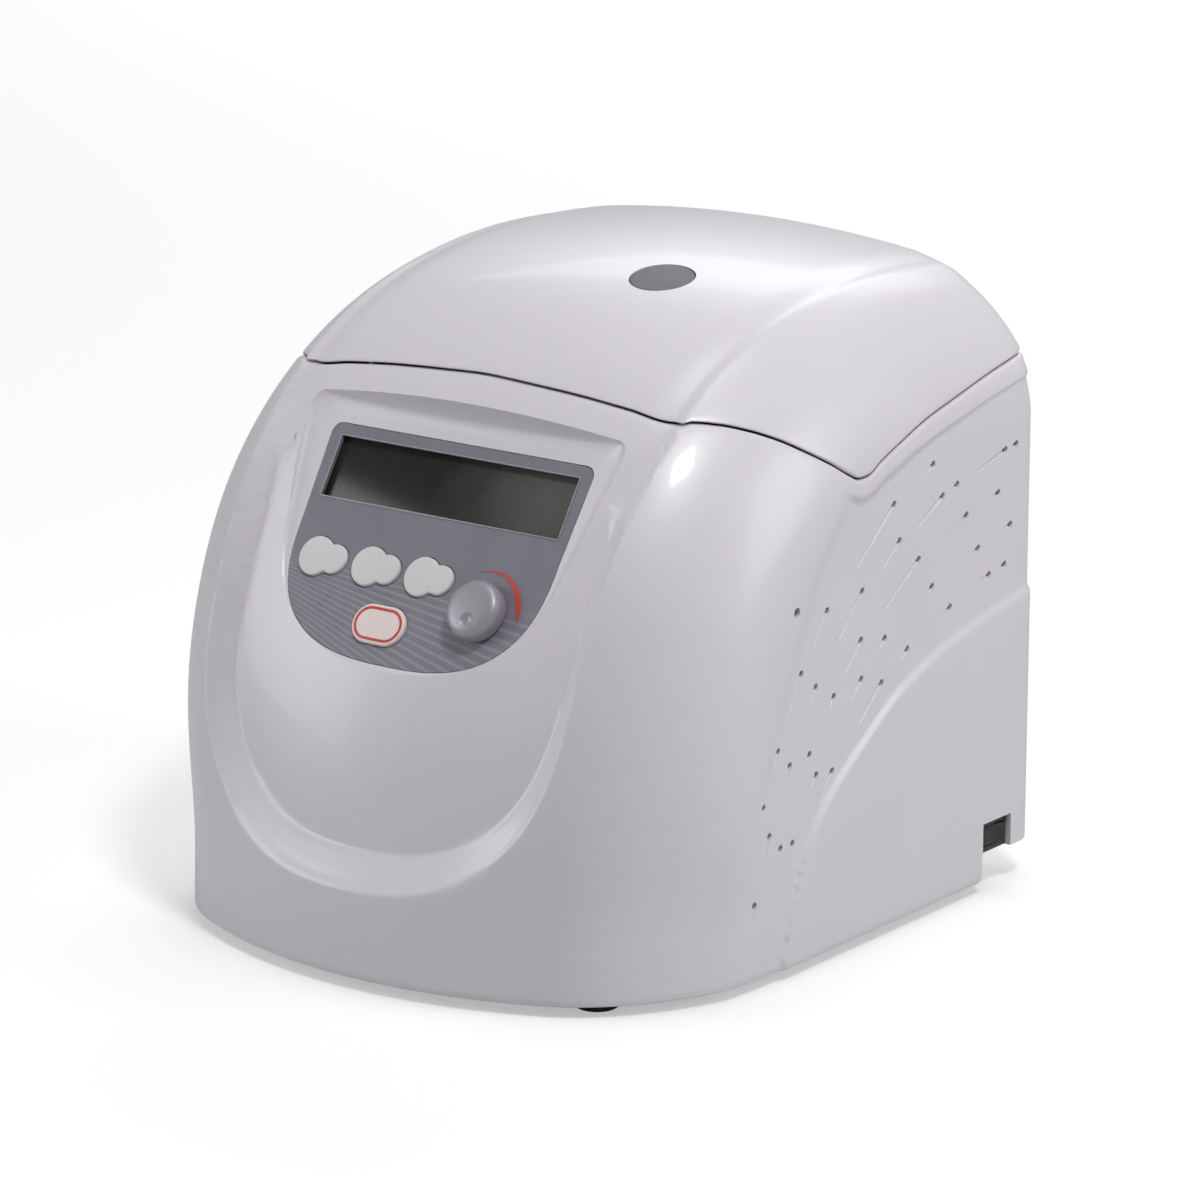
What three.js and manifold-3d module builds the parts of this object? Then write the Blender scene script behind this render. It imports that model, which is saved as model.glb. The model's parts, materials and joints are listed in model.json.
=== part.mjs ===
// Bench microcentrifuge: a moulded casing with a sloping control panel, a rear-hinged domed lid,
// and a motor-driven angle rotor for 24 small tubes in a steel bowl. Millimetres, +Z up, front is -Y.

import * as THREE from 'three';
import { mergeVertices } from 'three/addons/utils/BufferGeometryUtils.js';
import Module from 'manifold-3d';

// ---------- driving dimensions ----------
const HALF_WIDTH = 143;
const REAR_Y = 152;
const EDGE_Z = 5; // lower edge of the casing, held up by the feet
const WALL = 3;
const GAP = 0.3; // left between pieces that touch
const SEAM_GAP = 0.9; // shadow gap between casing and lid
const AXIS_Y = 30; // upright line that the body's sections are measured from
const PROFILE_PIVOT = { y: 60, z: 30 };
// side profile of the body on its centre line, front bottom, over the top, to the rear (y, z)
const PROFILE = [
  [-152, -10], [-152, 5], [-150, 60], [-142, 110], [-124, 160], [-98, 205], [-62, 241],
  [-20, 265], [30, 279], [80, 284], [120, 283], [160, 279], [200, 272],
];
// height of the lid seam by the angle round the body, degrees from the front
const SEAM = [
  [0, 241.8], [15, 241], [30, 239.4], [42, 236.7], [50.5, 233.4], [53, 234.3], [57.7, 233.2],
  [63, 230.2], [68, 225.8], [73.5, 219.1], [78.4, 212.5], [81.7, 207.5], [84.5, 204.4],
  [86.5, 204.6], [91, 209.2], [96, 213.5], [104.4, 220.1], [114, 225.5], [125, 231.3],
  [139, 236.8], [150, 238], [180, 238],
];
// depth of the sunk front shield by the profile angle, degrees up from the front
const SHIELD_DEPTH = [[0, 9.5], [27, 11], [43, 12], [52, 8.5], [59, 4], [66, 2.5], [90, 2], [120, 1]];
const SHIELD = { halfWidth: 97, flare: 0.045, widest: 100.5, bendZ: 150, drop: 108, power: 2.6 };
const SHIELD_LEDGE = { bottom: 18, side: 10 };

const PANEL = {
  origin: [0, -85.6, 187.2], tilt: 57, // lower edge of the display; degrees from level
  halfWidth: 68.3, topHalfWidth: 69.6, top: 33, bend: -10, drop: 57, power: 2.7,
};
const DISPLAY = { halfWidth: 63.2, height: 27.4 };
const KEY_SPOTS = [['key_left', -49.7], ['key_middle', -21.1], ['key_right', 7.2]];
const KEY_ROW = -26.6;
const START_SPOT = [-8.9, -50.3];
const KNOB_SPOT = [39, -37];
const KNOB_RADIUS = 12.6;
const KEY_TRAVEL = 1;

const ROTOR_Y = 52; // axis of the rotor
const BOWL = { inner: 86, outer: 87.5, bottom: 112, rim: 192, flange: 94 };
const SOCKETS = 24;
const SOCKET = { radius: 5.5, mouthR: 52, mouthZ: 173, depth: 32, lean: 45 };
const DECK = { bottom: 187, top: 190, hole: 89 };
const HOOD = { halfWidth: 100, back: -53, top: 228 };
const HINGE = { y: 158, z: 236, x: 80, knuckle: 5.5, pin: 2 };
const LINER = { radius: 93, bottom: 197, plate: 243, wall: 2.5 };
const PORT = { x: 34, y: 24, radius: 14 };
const LATCH = { x: 89, boltZ: 198.5, bolt: [7, 14, 5] };
const STEP_Y = 112; // the rear of the underside is stepped up
const STEP_Z = 16.5;
const SWITCH = { y: 123.5, z: 23.9, width: 21, height: 14, face: 140.8, tilt: 8 };
const REAR_PANEL = { halfWidth: 75, low: 26, high: 96 };
const INLET = { x: -42, z: 62 };
const FEET = { x: 98, front: -105, rear: 88, radius: 11, top: 5.7 };

// ---------- finishes ----------
const FINISH = {
  shell: [0xd9d6df, 0.38, 0], liner: [0xc9c8cf, 0.5, 0], panel: [0x7d7b86, 0.45, 0],
  keys: [0xdcdcde, 0.55, 0], start: [0xe7c9c8, 0.5, 0], knob: [0xb8b3bd, 0.35, 0.6],
  glass: [0x2f332f, 0.1, 0], smoked: [0x3a3b40, 0.12, 0], black: [0x16161a, 0.45, 0],
  rubber: [0x2b2b2d, 0.85, 0], steel: [0xb7babd, 0.3, 1], zinc: [0xa9adb0, 0.45, 1],
  aluminium: [0xc8cacd, 0.32, 1], motor: [0x7b7e82, 0.5, 0.8], board: [0x2f6b43, 0.6, 0],
};

const group = new THREE.Group();
group.name = 'microcentrifuge';

function put(name, geometry, finish, parent = group) {
  const [color, roughness, metalness] = FINISH[finish];
  const mesh = new THREE.Mesh(geometry, new THREE.MeshStandardMaterial({ color, roughness, metalness }));
  mesh.name = name;
  parent.add(mesh);
  return mesh;
}

// ---------- curves ----------
function naturalSpline(points) {
  const n = points.length;
  const second = new Array(n).fill(0);
  const work = new Array(n).fill(0);
  for (let i = 1; i < n - 1; i++) {
    const [x0, y0] = points[i - 1];
    const [x1, y1] = points[i];
    const [x2, y2] = points[i + 1];
    const share = (x1 - x0) / (x2 - x0);
    const pivot = share * second[i - 1] + 2;
    second[i] = (share - 1) / pivot;
    const bend = (y2 - y1) / (x2 - x1) - (y1 - y0) / (x1 - x0);
    work[i] = ((6 * bend) / (x2 - x0) - share * work[i - 1]) / pivot;
  }
  for (let i = n - 2; i >= 0; i--) second[i] = second[i] * second[i + 1] + work[i];
  return (x) => {
    let i = 1;
    while (i < n - 1 && x > points[i][0]) i++;
    const [x0, y0] = points[i - 1];
    const [x1, y1] = points[i];
    const h = x1 - x0;
    const a = (x1 - x) / h;
    const b = (x - x0) / h;
    const curve = ((a ** 3 - a) * second[i - 1] + (b ** 3 - b) * second[i]) * h * h / 6;
    return a * y0 + b * y1 + curve;
  };
}

function monotoneCurve(points) {
  const n = points.length;
  const steps = points.slice(1).map(([x, y], i) => (y - points[i][1]) / (x - points[i][0]));
  const slopes = points.map((_, i) => {
    if (i === 0 || i === n - 1) return 0;
    const [a, b] = [steps[i - 1], steps[i]];
    return a * b <= 0 ? 0 : (2 * a * b) / (a + b);
  });
  return (value) => {
    const x = Math.min(Math.max(value, points[0][0]), points[n - 1][0]);
    let i = 1;
    while (i < n - 1 && x > points[i][0]) i++;
    const [x0, y0] = points[i - 1];
    const [x1, y1] = points[i];
    const h = x1 - x0;
    const t = (x - x0) / h;
    const ease = t * t * (3 - 2 * t);
    const pull = t * (1 - t) * ((1 - t) * slopes[i - 1] - t * slopes[i]);
    return y0 + (y1 - y0) * ease + h * pull;
  };
}

const clamp01 = (t) => Math.min(Math.max(t, 0), 1);
const smooth = (a, b, x) => {
  const t = clamp01((x - a) / (b - a));
  return t * t * (3 - 2 * t);
};
const degrees = THREE.MathUtils.radToDeg;
const radians = THREE.MathUtils.degToRad;

// Angle round the profile's pivot, up from the front; behind and below the pivot it goes on past 180.
function profileAngle(y, z) {
  const angle = degrees(Math.atan2(z - PROFILE_PIVOT.z, PROFILE_PIVOT.y - y));
  return angle < -90 ? angle + 360 : angle;
}
const profileReach = (y, z) => Math.hypot(PROFILE_PIVOT.y - y, z - PROFILE_PIVOT.z);
const profilePolar = PROFILE.map(([y, z]) => [profileAngle(y, z), profileReach(y, z)]);
const profileEnd = profilePolar[profilePolar.length - 1][0];
const profileSpline = naturalSpline(profilePolar);
const profileRadius = (angle) => profileSpline(Math.min(Math.max(angle, profilePolar[0][0]), profileEnd));
const seamHeight = monotoneCurve(SEAM);
const shieldDepth = monotoneCurve(SHIELD_DEPTH);

// ---------- the body surface ----------
// How deep the shield is sunk at a place: nothing outside its U outline, all of it past the ledge.
function shieldSink(x, z, angle) {
  const { halfWidth, flare, widest, bendZ, drop, power } = SHIELD;
  let inside;
  let ledge = SHIELD_LEDGE.side;
  if (z >= bendZ) {
    inside = Math.min(halfWidth + flare * (z - bendZ), widest) - Math.abs(x);
  } else {
    const across = Math.abs(x) / halfWidth;
    const down = (bendZ - z) / drop;
    const reach = (across ** power + down ** power) ** (1 / power);
    inside = Math.hypot(x, bendZ - z) * (1 / Math.max(reach, 1e-6) - 1);
    ledge += (SHIELD_LEDGE.bottom - SHIELD_LEDGE.side) * clamp01(down * down);
  }
  return shieldDepth(angle) * smooth(0, ledge, inside);
}

const roundJoin = (a, b, r) => (a > -r && b > -r ? Math.hypot(a + r, b + r) - r : Math.max(a, b));

// Signed distance-like value, negative inside the body.
function bodyLevel(x, y, z) {
  const angle = profileAngle(y, z);
  const bow = 207 + 413 * smooth(0, 80, angle);
  const sag = bow - Math.sqrt(Math.max(bow * bow - x * x, 1));
  const sheet = profileReach(y, z) + sag - profileRadius(angle) + shieldSink(x, z, angle);
  const shoulder = 50 + 12 * smooth(0, 70, angle);
  const sides = roundJoin(sheet, Math.abs(x) - HALF_WIDTH, shoulder);
  return roundJoin(sides, y - REAR_Y, 8 + 8 * clamp01((z - 237) / 25));
}

const BEYOND = 400; // farther than any point of the body
const HALVINGS = 32;

// The point where a ray from inside the body meets the surface sunk by inset.
function cast(from, direction, inset) {
  let near = 0;
  let far = BEYOND;
  const at = new THREE.Vector3();
  for (let i = 0; i < HALVINGS; i++) {
    const middle = (near + far) / 2;
    at.copy(from).addScaledVector(direction, middle);
    if (bodyLevel(at.x, at.y, at.z) + inset < 0) near = middle;
    else far = middle;
  }
  return at.copy(from).addScaledVector(direction, near).clone();
}

const HALF_ANGLES = [
  8, 16, 24, 30, 33, 36, 42, 50, 58, 66, 74, 82, 88, 92, 98, 106, 114, 122, 128, 131, 134, 142, 155, 168,
];
const ANGLES = [0, ...HALF_ANGLES, 180, ...HALF_ANGLES.slice().reverse().map((a) => -a)];
const outward = (angle) => new THREE.Vector3(Math.sin(radians(angle)), -Math.cos(radians(angle)), 0);
const wallPoint = (angle, z, inset) => cast(new THREE.Vector3(0, AXIS_Y, z), outward(angle), inset);

const WALL_ROWS = [0, 0.12, 0.17, 0.22, 0.32, 0.44, 0.56, 0.68, 0.78, 0.88, 1];
const LID_ROWS = [0, 0.06, 0.15, 0.28, 0.44, 0.62, 0.82];
const LID_EYE = new THREE.Vector3(0, AXIS_Y, 150);

function wallRing(row, inset) {
  return ANGLES.map((angle) => {
    const top = seamHeight(Math.abs(angle)) - SEAM_GAP / 2;
    return wallPoint(angle, EDGE_Z + (top - EDGE_Z) * row, inset);
  });
}

function lidRing(row, inset) {
  return ANGLES.map((angle) => {
    const edge = wallPoint(angle, seamHeight(Math.abs(angle)) + SEAM_GAP / 2, inset).sub(LID_EYE);
    const lean = Math.atan2(Math.hypot(edge.x, edge.y), edge.z) * (1 - row);
    const direction = outward(angle).multiplyScalar(Math.sin(lean));
    direction.z = Math.cos(lean);
    return cast(LID_EYE, direction, inset);
  });
}

// ---------- solids ----------
const wasm = await Module();
wasm.setup();

function bare(geometry) {
  const copy = geometry.index ? geometry.toNonIndexed() : geometry.clone();
  for (const name of Object.keys(copy.attributes)) {
    if (name !== 'position') copy.deleteAttribute(name);
  }
  return mergeVertices(copy, 1e-4);
}

function solid(geometry) {
  const merged = bare(geometry);
  return new wasm.Manifold(new wasm.Mesh({
    numProp: 3,
    vertProperties: Float32Array.from(merged.attributes.position.array),
    triVerts: Uint32Array.from(merged.index.array),
  }));
}

function geometryOf(body) {
  const mesh = body.getMesh();
  const geometry = new THREE.BufferGeometry();
  geometry.setAttribute('position', new THREE.BufferAttribute(Float32Array.from(mesh.vertProperties), 3));
  geometry.setIndex(Array.from(mesh.triVerts));
  return geometry;
}

const union = (...bodies) => bodies.reduce((a, b) => a.add(b));
const cut = (body, ...tools) => tools.reduce((a, b) => a.subtract(b), body);

// A closed mesh from rows of points: rows run round, the first and last row are the same or are capped.
function meshOfRows(rows, closed) {
  const count = rows[0].length;
  const points = rows.flat();
  const faces = [];
  const last = closed ? rows.length : rows.length - 1;
  for (let r = 0; r < last; r++) {
    const here = r * count;
    const next = ((r + 1) % rows.length) * count;
    for (let c = 0; c < count; c++) {
      const d = (c + 1) % count;
      faces.push(here + c, here + d, next + d, here + c, next + d, next + c);
    }
  }
  return { points, faces, count };
}

function finishMesh({ points, faces }) {
  const geometry = new THREE.BufferGeometry();
  const places = points.flatMap((p) => [p.x, p.y, p.z]);
  geometry.setAttribute('position', new THREE.Float32BufferAttribute(places, 3));
  let volume = 0;
  for (let i = 0; i < faces.length; i += 3) {
    const [a, b, c] = [points[faces[i]], points[faces[i + 1]], points[faces[i + 2]]];
    volume += a.dot(new THREE.Vector3().crossVectors(b, c));
  }
  if (volume < 0) faces.reverse();
  geometry.setIndex(faces);
  return geometry;
}

function capRow(mesh, row, flip) {
  const ring = mesh.points.slice(row * mesh.count, (row + 1) * mesh.count);
  const middle = ring.reduce((sum, p) => sum.add(p), new THREE.Vector3()).divideScalar(ring.length);
  mesh.points.push(middle);
  const tip = mesh.points.length - 1;
  for (let c = 0; c < mesh.count; c++) {
    const a = row * mesh.count + c;
    const b = row * mesh.count + ((c + 1) % mesh.count);
    mesh.faces.push(...(flip ? [a, tip, b] : [a, b, tip]));
  }
}

function loft(rows) {
  const mesh = meshOfRows(rows, false);
  capRow(mesh, 0, true);
  capRow(mesh, rows.length - 1, false);
  return finishMesh(mesh);
}

const tube = (rows) => finishMesh(meshOfRows(rows, true));

function box(low, high) {
  const size = high.map((v, i) => v - low[i]);
  const geometry = new THREE.BoxGeometry(...size);
  return geometry.translate(...low.map((v, i) => v + size[i] / 2));
}

function rod(radius, low, high, x = 0, y = 0, sides = 24) {
  const geometry = new THREE.CylinderGeometry(radius, radius, high - low, sides);
  return geometry.rotateX(Math.PI / 2).translate(x, y, (low + high) / 2);
}

function rodAlongX(radius, low, high, y, z, sides = 16) {
  const geometry = new THREE.CylinderGeometry(radius, radius, high - low, sides);
  return geometry.rotateZ(Math.PI / 2).translate((low + high) / 2, y, z);
}

// profile: outline of radius and height pairs, which starts and ends on the axis or closes on itself
function turned(profile, sides = 32, x = 0, y = 0) {
  const outline = [...profile, profile[0]].map(([r, z]) => new THREE.Vector2(r, z));
  const clockwise = THREE.ShapeUtils.area(outline) < 0;
  const onAxis = profile[0][0] === 0 && profile[profile.length - 1][0] === 0;
  if (onAxis) outline.pop();
  const geometry = new THREE.LatheGeometry(clockwise ? outline.reverse() : outline, sides);
  return geometry.rotateX(Math.PI / 2).translate(x, y, 0);
}

function slab(outline, low, high, holes = []) {
  const shape = new THREE.Shape(outline.map(([x, y]) => new THREE.Vector2(x, y)));
  for (const hole of holes) shape.holes.push(new THREE.Path(hole.map(([x, y]) => new THREE.Vector2(x, y))));
  const geometry = new THREE.ExtrudeGeometry(shape, { depth: high - low, bevelEnabled: false });
  return geometry.translate(0, 0, low);
}

const rectangle = (x0, y0, x1, y1) => [[x0, y0], [x1, y0], [x1, y1], [x0, y1]];
const circle = (x, y, r, sides = 20) => Array.from({ length: sides }, (_, i) => {
  const turn = (2 * Math.PI * i) / sides;
  return [x + r * Math.cos(turn), y + r * Math.sin(turn)];
});

const SLICE = 8; // height of one slice of the trimming volume

// The body's own volume, sunk by inset, up to a height: used to trim what lies inside it.
function bodyVolume(inset, low, high) {
  const rows = [];
  for (let z = low; z < high; z += SLICE) rows.push(ANGLES.map((angle) => wallPoint(angle, z, inset)));
  rows.push(ANGLES.map((angle) => wallPoint(angle, high, inset)));
  return solid(loft(rows));
}

// ---------- frame of the sloping control panel: x across, y up the slope, z out of it ----------
const panelFrame = new THREE.Matrix4()
  .makeTranslation(...PANEL.origin)
  .multiply(new THREE.Matrix4().makeRotationX(radians(PANEL.tilt)));
const onPanel = (geometry) => geometry.applyMatrix4(panelFrame);

function panelOutline(grow) {
  const { halfWidth, topHalfWidth, top, bend, drop, power } = PANEL;
  const right = [];
  for (let turn = 0; turn <= 90; turn += 10) {
    const across = Math.sin(radians(turn)) ** (2 / power);
    const down = Math.cos(radians(turn)) ** (2 / power);
    right.push([(halfWidth + grow) * across, bend - (drop + grow) * down]);
  }
  const corner = 5;
  right.push([topHalfWidth + grow, top + grow - corner]);
  right.push([topHalfWidth + grow - corner * 0.3, top + grow - corner * 0.3]);
  right.push([topHalfWidth + grow - corner, top + grow]);
  const left = right.slice(1).reverse().map(([x, y]) => [-x, y]);
  return [...right, ...left];
}

// The pocket's walls open outwards: a little at the sides, widely at the top.
function pocketRow(grow, height) {
  const rise = Math.max(height, 0);
  return panelOutline(grow).map(([x, y]) => {
    const up = clamp01((y - PANEL.bend + PANEL.drop) / (PANEL.top - PANEL.bend + PANEL.drop));
    const side = (0.2 + 0.4 * up) * rise * Math.sign(x) * Math.min(Math.abs(x) / 40, 1);
    const lift = rise * (3 * up ** 6 - 0.25 * (1 - up));
    return new THREE.Vector3(x + side, y + lift, height);
  });
}

const POCKET_TOP = 26; // clear of the casing all round
const pocket = (grow, low) => onPanel(loft([low, 0, POCKET_TOP].map((height) => pocketRow(grow, height))));

function keyOutline(x, y, grow) {
  const big = { x: x - 3.5, r: 8.8 + grow };
  const small = { x: x + 6, r: 6.6 + grow };
  const meet = 62;
  const fold = 50;
  const points = [];
  for (let turn = fold; turn <= 360 - fold; turn += 20) {
    points.push([big.x + big.r * Math.cos(radians(turn)), y + big.r * Math.sin(radians(turn))]);
  }
  for (let turn = -180 + meet; turn <= 180 - meet; turn += 23.6) {
    points.push([small.x + small.r * Math.cos(radians(turn)), y + small.r * Math.sin(radians(turn))]);
  }
  return points;
}

function startOutline(grow) {
  const [x, y] = START_SPOT;
  const radius = 8.6 + grow;
  const points = [];
  for (const [side, from] of [[1, -90], [-1, 90]]) {
    for (let turn = from; turn <= from + 180; turn += 22.5) {
      points.push([x + side * 5 + radius * Math.cos(radians(turn)), y + radius * Math.sin(radians(turn))]);
    }
  }
  return points;
}

// ---------- casing ----------
const FLOOR = { top: -2, bottom: -6, keyWell: -3.6 };

function makeCasing() {
  const outer = WALL_ROWS.map((row) => wallRing(row, 0));
  const inner = WALL_ROWS.slice().reverse().map((row) => wallRing(row, WALL));
  const shell = solid(tube([...outer, ...inner]));
  const skinVolume = bodyVolume(1.5, 20, 232);
  const innerVolume = bodyVolume(WALL, 20, 232);
  const deckRow = (z) => ANGLES.map((angle) => wallPoint(angle, z, WALL / 2));
  const deck = solid(loft([deckRow(DECK.bottom), deckRow(DECK.top)]));
  const { halfWidth, back, top } = HOOD;
  const hood = solid(box([-halfWidth, -120, DECK.bottom], [halfWidth, back, top])).intersect(skinVolume);
  const hoodRoom = solid(box([WALL - halfWidth, -160, 100], [halfWidth - WALL, back - WALL, top - WALL]))
    .intersect(innerVolume);
  const pocketWalls = solid(pocket(WALL, FLOOR.bottom)).intersect(skinVolume);
  const keyWells = KEY_SPOTS.map(([, x]) => slab(keyOutline(x, KEY_ROW, 0.4), FLOOR.keyWell, 0));
  keyWells.push(slab(startOutline(0.4), FLOOR.keyWell, 0));
  const stems = [...KEY_SPOTS.map(([, x]) => [x, KEY_ROW]), START_SPOT];
  const stemHoles = stems.map(([x, y]) => rod(3.4, -12, 0, x, y, 12));
  const shaftHole = rod(5, -12, 0, ...KNOB_SPOT, 16);
  const { halfWidth: w, height: h } = DISPLAY;
  const displayHole = box([-w - 1.3, -1.3, -12], [w + 1.3, h + 1.3, 1]);
  const panelCuts = [...keyWells, ...stemHoles, shaftHole, displayHole].map((g) => solid(onPanel(g)));
  const bowlHole = solid(rod(DECK.hole, 150, 200, 0, ROTOR_Y, 48));
  const boltHoles = [-1, 1].map((side) => {
    const [bx, , bz] = LATCH.bolt.map((v) => v / 2 + 0.6);
    const x = side * LATCH.x;
    return solid(box([x - bx, back - 6, LATCH.boltZ - bz], [x + bx, back + 1, LATCH.boltZ + bz]));
  });
  const step = solid(box([-200, STEP_Y, 0], [200, 200, STEP_Z]));
  const { halfWidth: pw, low, high } = REAR_PANEL;
  const rearHole = solid(box([-pw, REAR_Y - 10, low], [pw, REAR_Y + 10, high]));
  const [sw, sh] = [SWITCH.width / 2 + 0.4, SWITCH.height / 2 + 0.4];
  const switchHole = solid(box([120, SWITCH.y - sw, 0], [160, SWITCH.y + sw, SWITCH.z + sh]));
  const body = union(cut(union(shell, deck, hood), hoodRoom), pocketWalls);
  const outsideCuts = [solid(pocket(0, FLOOR.top)), step, rearHole, switchHole];
  return cut(body, ...outsideCuts, ...panelCuts, bowlHole, ...boltHoles);
}

put('casing', geometryOf(makeCasing()), 'shell');

// ---------- base, feet and rear panel ----------
const PAN = { front: -150, rear: 149, low: 6, sheet: 2.5, stepIn: 3.5, stepUp: 1.5, halfWidth: 141 };

function makeBasePan() {
  const { front, rear, low, sheet, stepIn, stepUp, halfWidth } = PAN;
  const bend = STEP_Y - stepIn;
  const side = [
    [front, low], [bend, low], [bend, STEP_Z + stepUp], [rear, STEP_Z + stepUp],
    [rear, STEP_Z + stepUp + sheet], [bend - sheet, STEP_Z + stepUp + sheet], [bend - sheet, low + sheet],
    [front, low + sheet],
  ];
  const plate = slab(side, -halfWidth, halfWidth).rotateY(Math.PI / 2).rotateX(Math.PI / 2);
  const switchRoom = solid(box([124, 104, 10], [150, 160, 24]));
  return solid(plate).intersect(bodyVolume(WALL + GAP, 4, 24)).subtract(switchRoom);
}
put('base_pan', geometryOf(makeBasePan()), 'zinc');

for (const [end, y] of [['front', FEET.front], ['rear', FEET.rear]]) {
  for (const [side, x] of [['left', -FEET.x], ['right', FEET.x]]) {
    const profile = [[0, 0], [FEET.radius - 2, 0], [FEET.radius, FEET.top], [0, FEET.top]];
    put(`foot_${end}_${side}`, turned(profile, 20, x, y), 'rubber');
  }
}

function makeRearPanel() {
  const { halfWidth, low, high } = REAR_PANEL;
  const reach = halfWidth - GAP;
  const plate = solid(box([-reach, REAR_Y - 2, low + GAP], [reach, REAR_Y, high - GAP]));
  const socket = solid(box([INLET.x - 14.6, 140, INLET.z - 21.6], [INLET.x + 14.6, 160, INLET.z + 12.6]));
  const slots = [];
  for (let i = 0; i < 7; i++) {
    slots.push(solid(box([10 + i * 8, 140, 40], [13 + i * 8, 160, 82])));
  }
  const holes = [-1, 1].flatMap((side) => [low + 6, high - 6].map((z) => {
    const hole = rod(1.8, -4, 4, 0, 0, 12).rotateX(Math.PI / 2);
    return solid(hole.translate(side * (halfWidth - 6), REAR_Y - 1, z));
  }));
  return cut(plate, socket, ...slots, ...holes);
}
put('rear_panel', geometryOf(makeRearPanel()), 'zinc');

function makeScrew(x, y, z) {
  const shank = [[0, -6], [1.5, -6], [1.5, GAP], [3, GAP], [3, 1.3], [2.2, 2], [0, 2]];
  return turned(shank, 12).rotateX(-Math.PI / 2).translate(x, y, z);
}
for (const [level, z] of [['lower', REAR_PANEL.low + 6], ['upper', REAR_PANEL.high - 6]]) {
  for (const [side, sign] of [['left', -1], ['right', 1]]) {
    put(`rear_screw_${level}_${side}`, makeScrew(sign * (REAR_PANEL.halfWidth - 6), REAR_Y, z), 'steel');
  }
}

function makeInlet() {
  const { x, z } = INLET;
  const flange = solid(box([x - 17, REAR_Y + GAP, z - 24], [x + 17, REAR_Y + 2.3, z + 15]));
  const block = solid(box([x - 14.3, REAR_Y - 28, z - 21.3], [x + 14.3, REAR_Y + 1, z + 12.3]));
  const mouth = [[-12, -8], [12, -8], [12, 3], [7, 8], [-7, 8], [-12, 3]];
  const well = solid(slab(mouth, 0, 20).rotateX(Math.PI / 2).translate(x, REAR_Y + 3, z + 1));
  const drawerRoom = solid(box([x - 12, REAR_Y - 24, z - 20], [x + 12, REAR_Y + 4, z - 10.5]));
  const blades = [[-7, -2], [0, 3], [7, -2]].map(([bx, bz]) => {
    const low = [x + bx - 1, REAR_Y - 18, z + bz - 2];
    return solid(box(low, [low[0] + 2, REAR_Y - 2, low[2] + 4]));
  });
  return union(cut(union(flange, block), well, drawerRoom), ...blades);
}
put('power_inlet', geometryOf(makeInlet()), 'black');

const DRAWER = {
  halfWidth: 11.6, inner: REAR_Y - 22, outer: REAR_Y + 3, low: INLET.z - 19.6, high: INLET.z - 10.9,
};
const drawerLow = [INLET.x - DRAWER.halfWidth, DRAWER.inner, DRAWER.low];
put('fuse_drawer', box(drawerLow, [INLET.x + DRAWER.halfWidth, DRAWER.outer, DRAWER.high]), 'black');

// ---------- bowl, motor and electronics ----------
function makeBowl() {
  const { inner, outer, bottom, rim, flange } = BOWL;
  const profile = [
    [15, bottom], [outer, bottom], [outer, DECK.top + GAP], [flange, DECK.top + GAP],
    [flange, rim], [inner, rim], [inner, bottom + 2], [15, bottom + 2],
  ];
  return turned(profile, 40, 0, ROTOR_Y);
}
put('rotor_bowl', makeBowl(), 'steel');

const gasketProfile = [[86.5, 192.3], [93.5, 192.3], [92, 196], [90, 196.7], [88, 196], [86.5, 194]];
put('bowl_gasket', turned(gasketProfile, 40, 0, ROTOR_Y), 'rubber');

const MOTOR = { plateLow: 30, plateHigh: 33, plateRadius: 52, damperR: 44, top: 100, radius: 38 };
const plateOutline = circle(0, ROTOR_Y, MOTOR.plateRadius, 32);
put('motor_plate', slab(plateOutline, MOTOR.plateLow, MOTOR.plateHigh), 'zinc');
const motorProfile = [
  [0, MOTOR.plateHigh + GAP], [MOTOR.radius, MOTOR.plateHigh + GAP], [MOTOR.radius, 84],
  [30, 92], [14, 94], [14, MOTOR.top], [0, MOTOR.top],
];
put('motor_body', turned(motorProfile, 28, 0, ROTOR_Y), 'motor');
for (let i = 0; i < 3; i++) {
  const turn = (2 * Math.PI * i) / 3 + Math.PI / 2;
  const damper = [[0, 8.8], [8, 8.8], [6, 14], [6, 24], [8, 29.7], [0, 29.7]];
  const [x, y] = [MOTOR.damperR * Math.cos(turn), ROTOR_Y + MOTOR.damperR * Math.sin(turn)];
  put(`motor_damper_${i + 1}`, turned(damper, 14, x, y), 'rubber');
}
put('power_supply', box([-128, -10, 9], [-72, 90, 52]), 'zinc');
put('drive_board', box([74, -20, 12], [76, 92, 84]), 'board');

// ---------- control panel ----------
function makePanelPlate() {
  const { halfWidth: w, height: h } = DISPLAY;
  const holes = [
    rectangle(-w, 0, w, h), circle(...KNOB_SPOT, 5, 16), startOutline(0.4),
    ...KEY_SPOTS.map(([, x]) => keyOutline(x, KEY_ROW, 0.4)),
  ];
  return onPanel(slab(panelOutline(-GAP), -1.7, 0, holes));
}
put('control_panel', makePanelPlate(), 'panel');
const { halfWidth: DW, height: DH } = DISPLAY;
put('display_window', onPanel(box([-DW - 1, -1, -4.3], [DW + 1, DH + 1, -2.3])), 'glass');
put('display_module', onPanel(box([-DW - 0.8, -0.8, -12], [DW + 0.8, DH + 0.8, -4.6])), 'black');
put('control_board', onPanel(box([-60, -58, -17.6], [60, 23, -16])), 'board');
const [KX, KY] = KNOB_SPOT;
put('knob_encoder', onPanel(box([KX - 7, KY - 7, -15.7], [KX + 7, KY + 7, -8])), 'black');
put('encoder_shaft', onPanel(rod(2.9, -7.7, 6, KX, KY, 14)), 'steel');

const knobProfile = [
  [0, 9.5], [8, 9.2], [11.3, 8.1], [KNOB_RADIUS, 5.5], [KNOB_RADIUS, 0.6],
  [4, 0.6], [3.2, 1.4], [3.2, 6.4], [0, 6.4],
];
put('speed_knob', onPanel(turned(knobProfile, 24, KX, KY)), 'knob');

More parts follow.
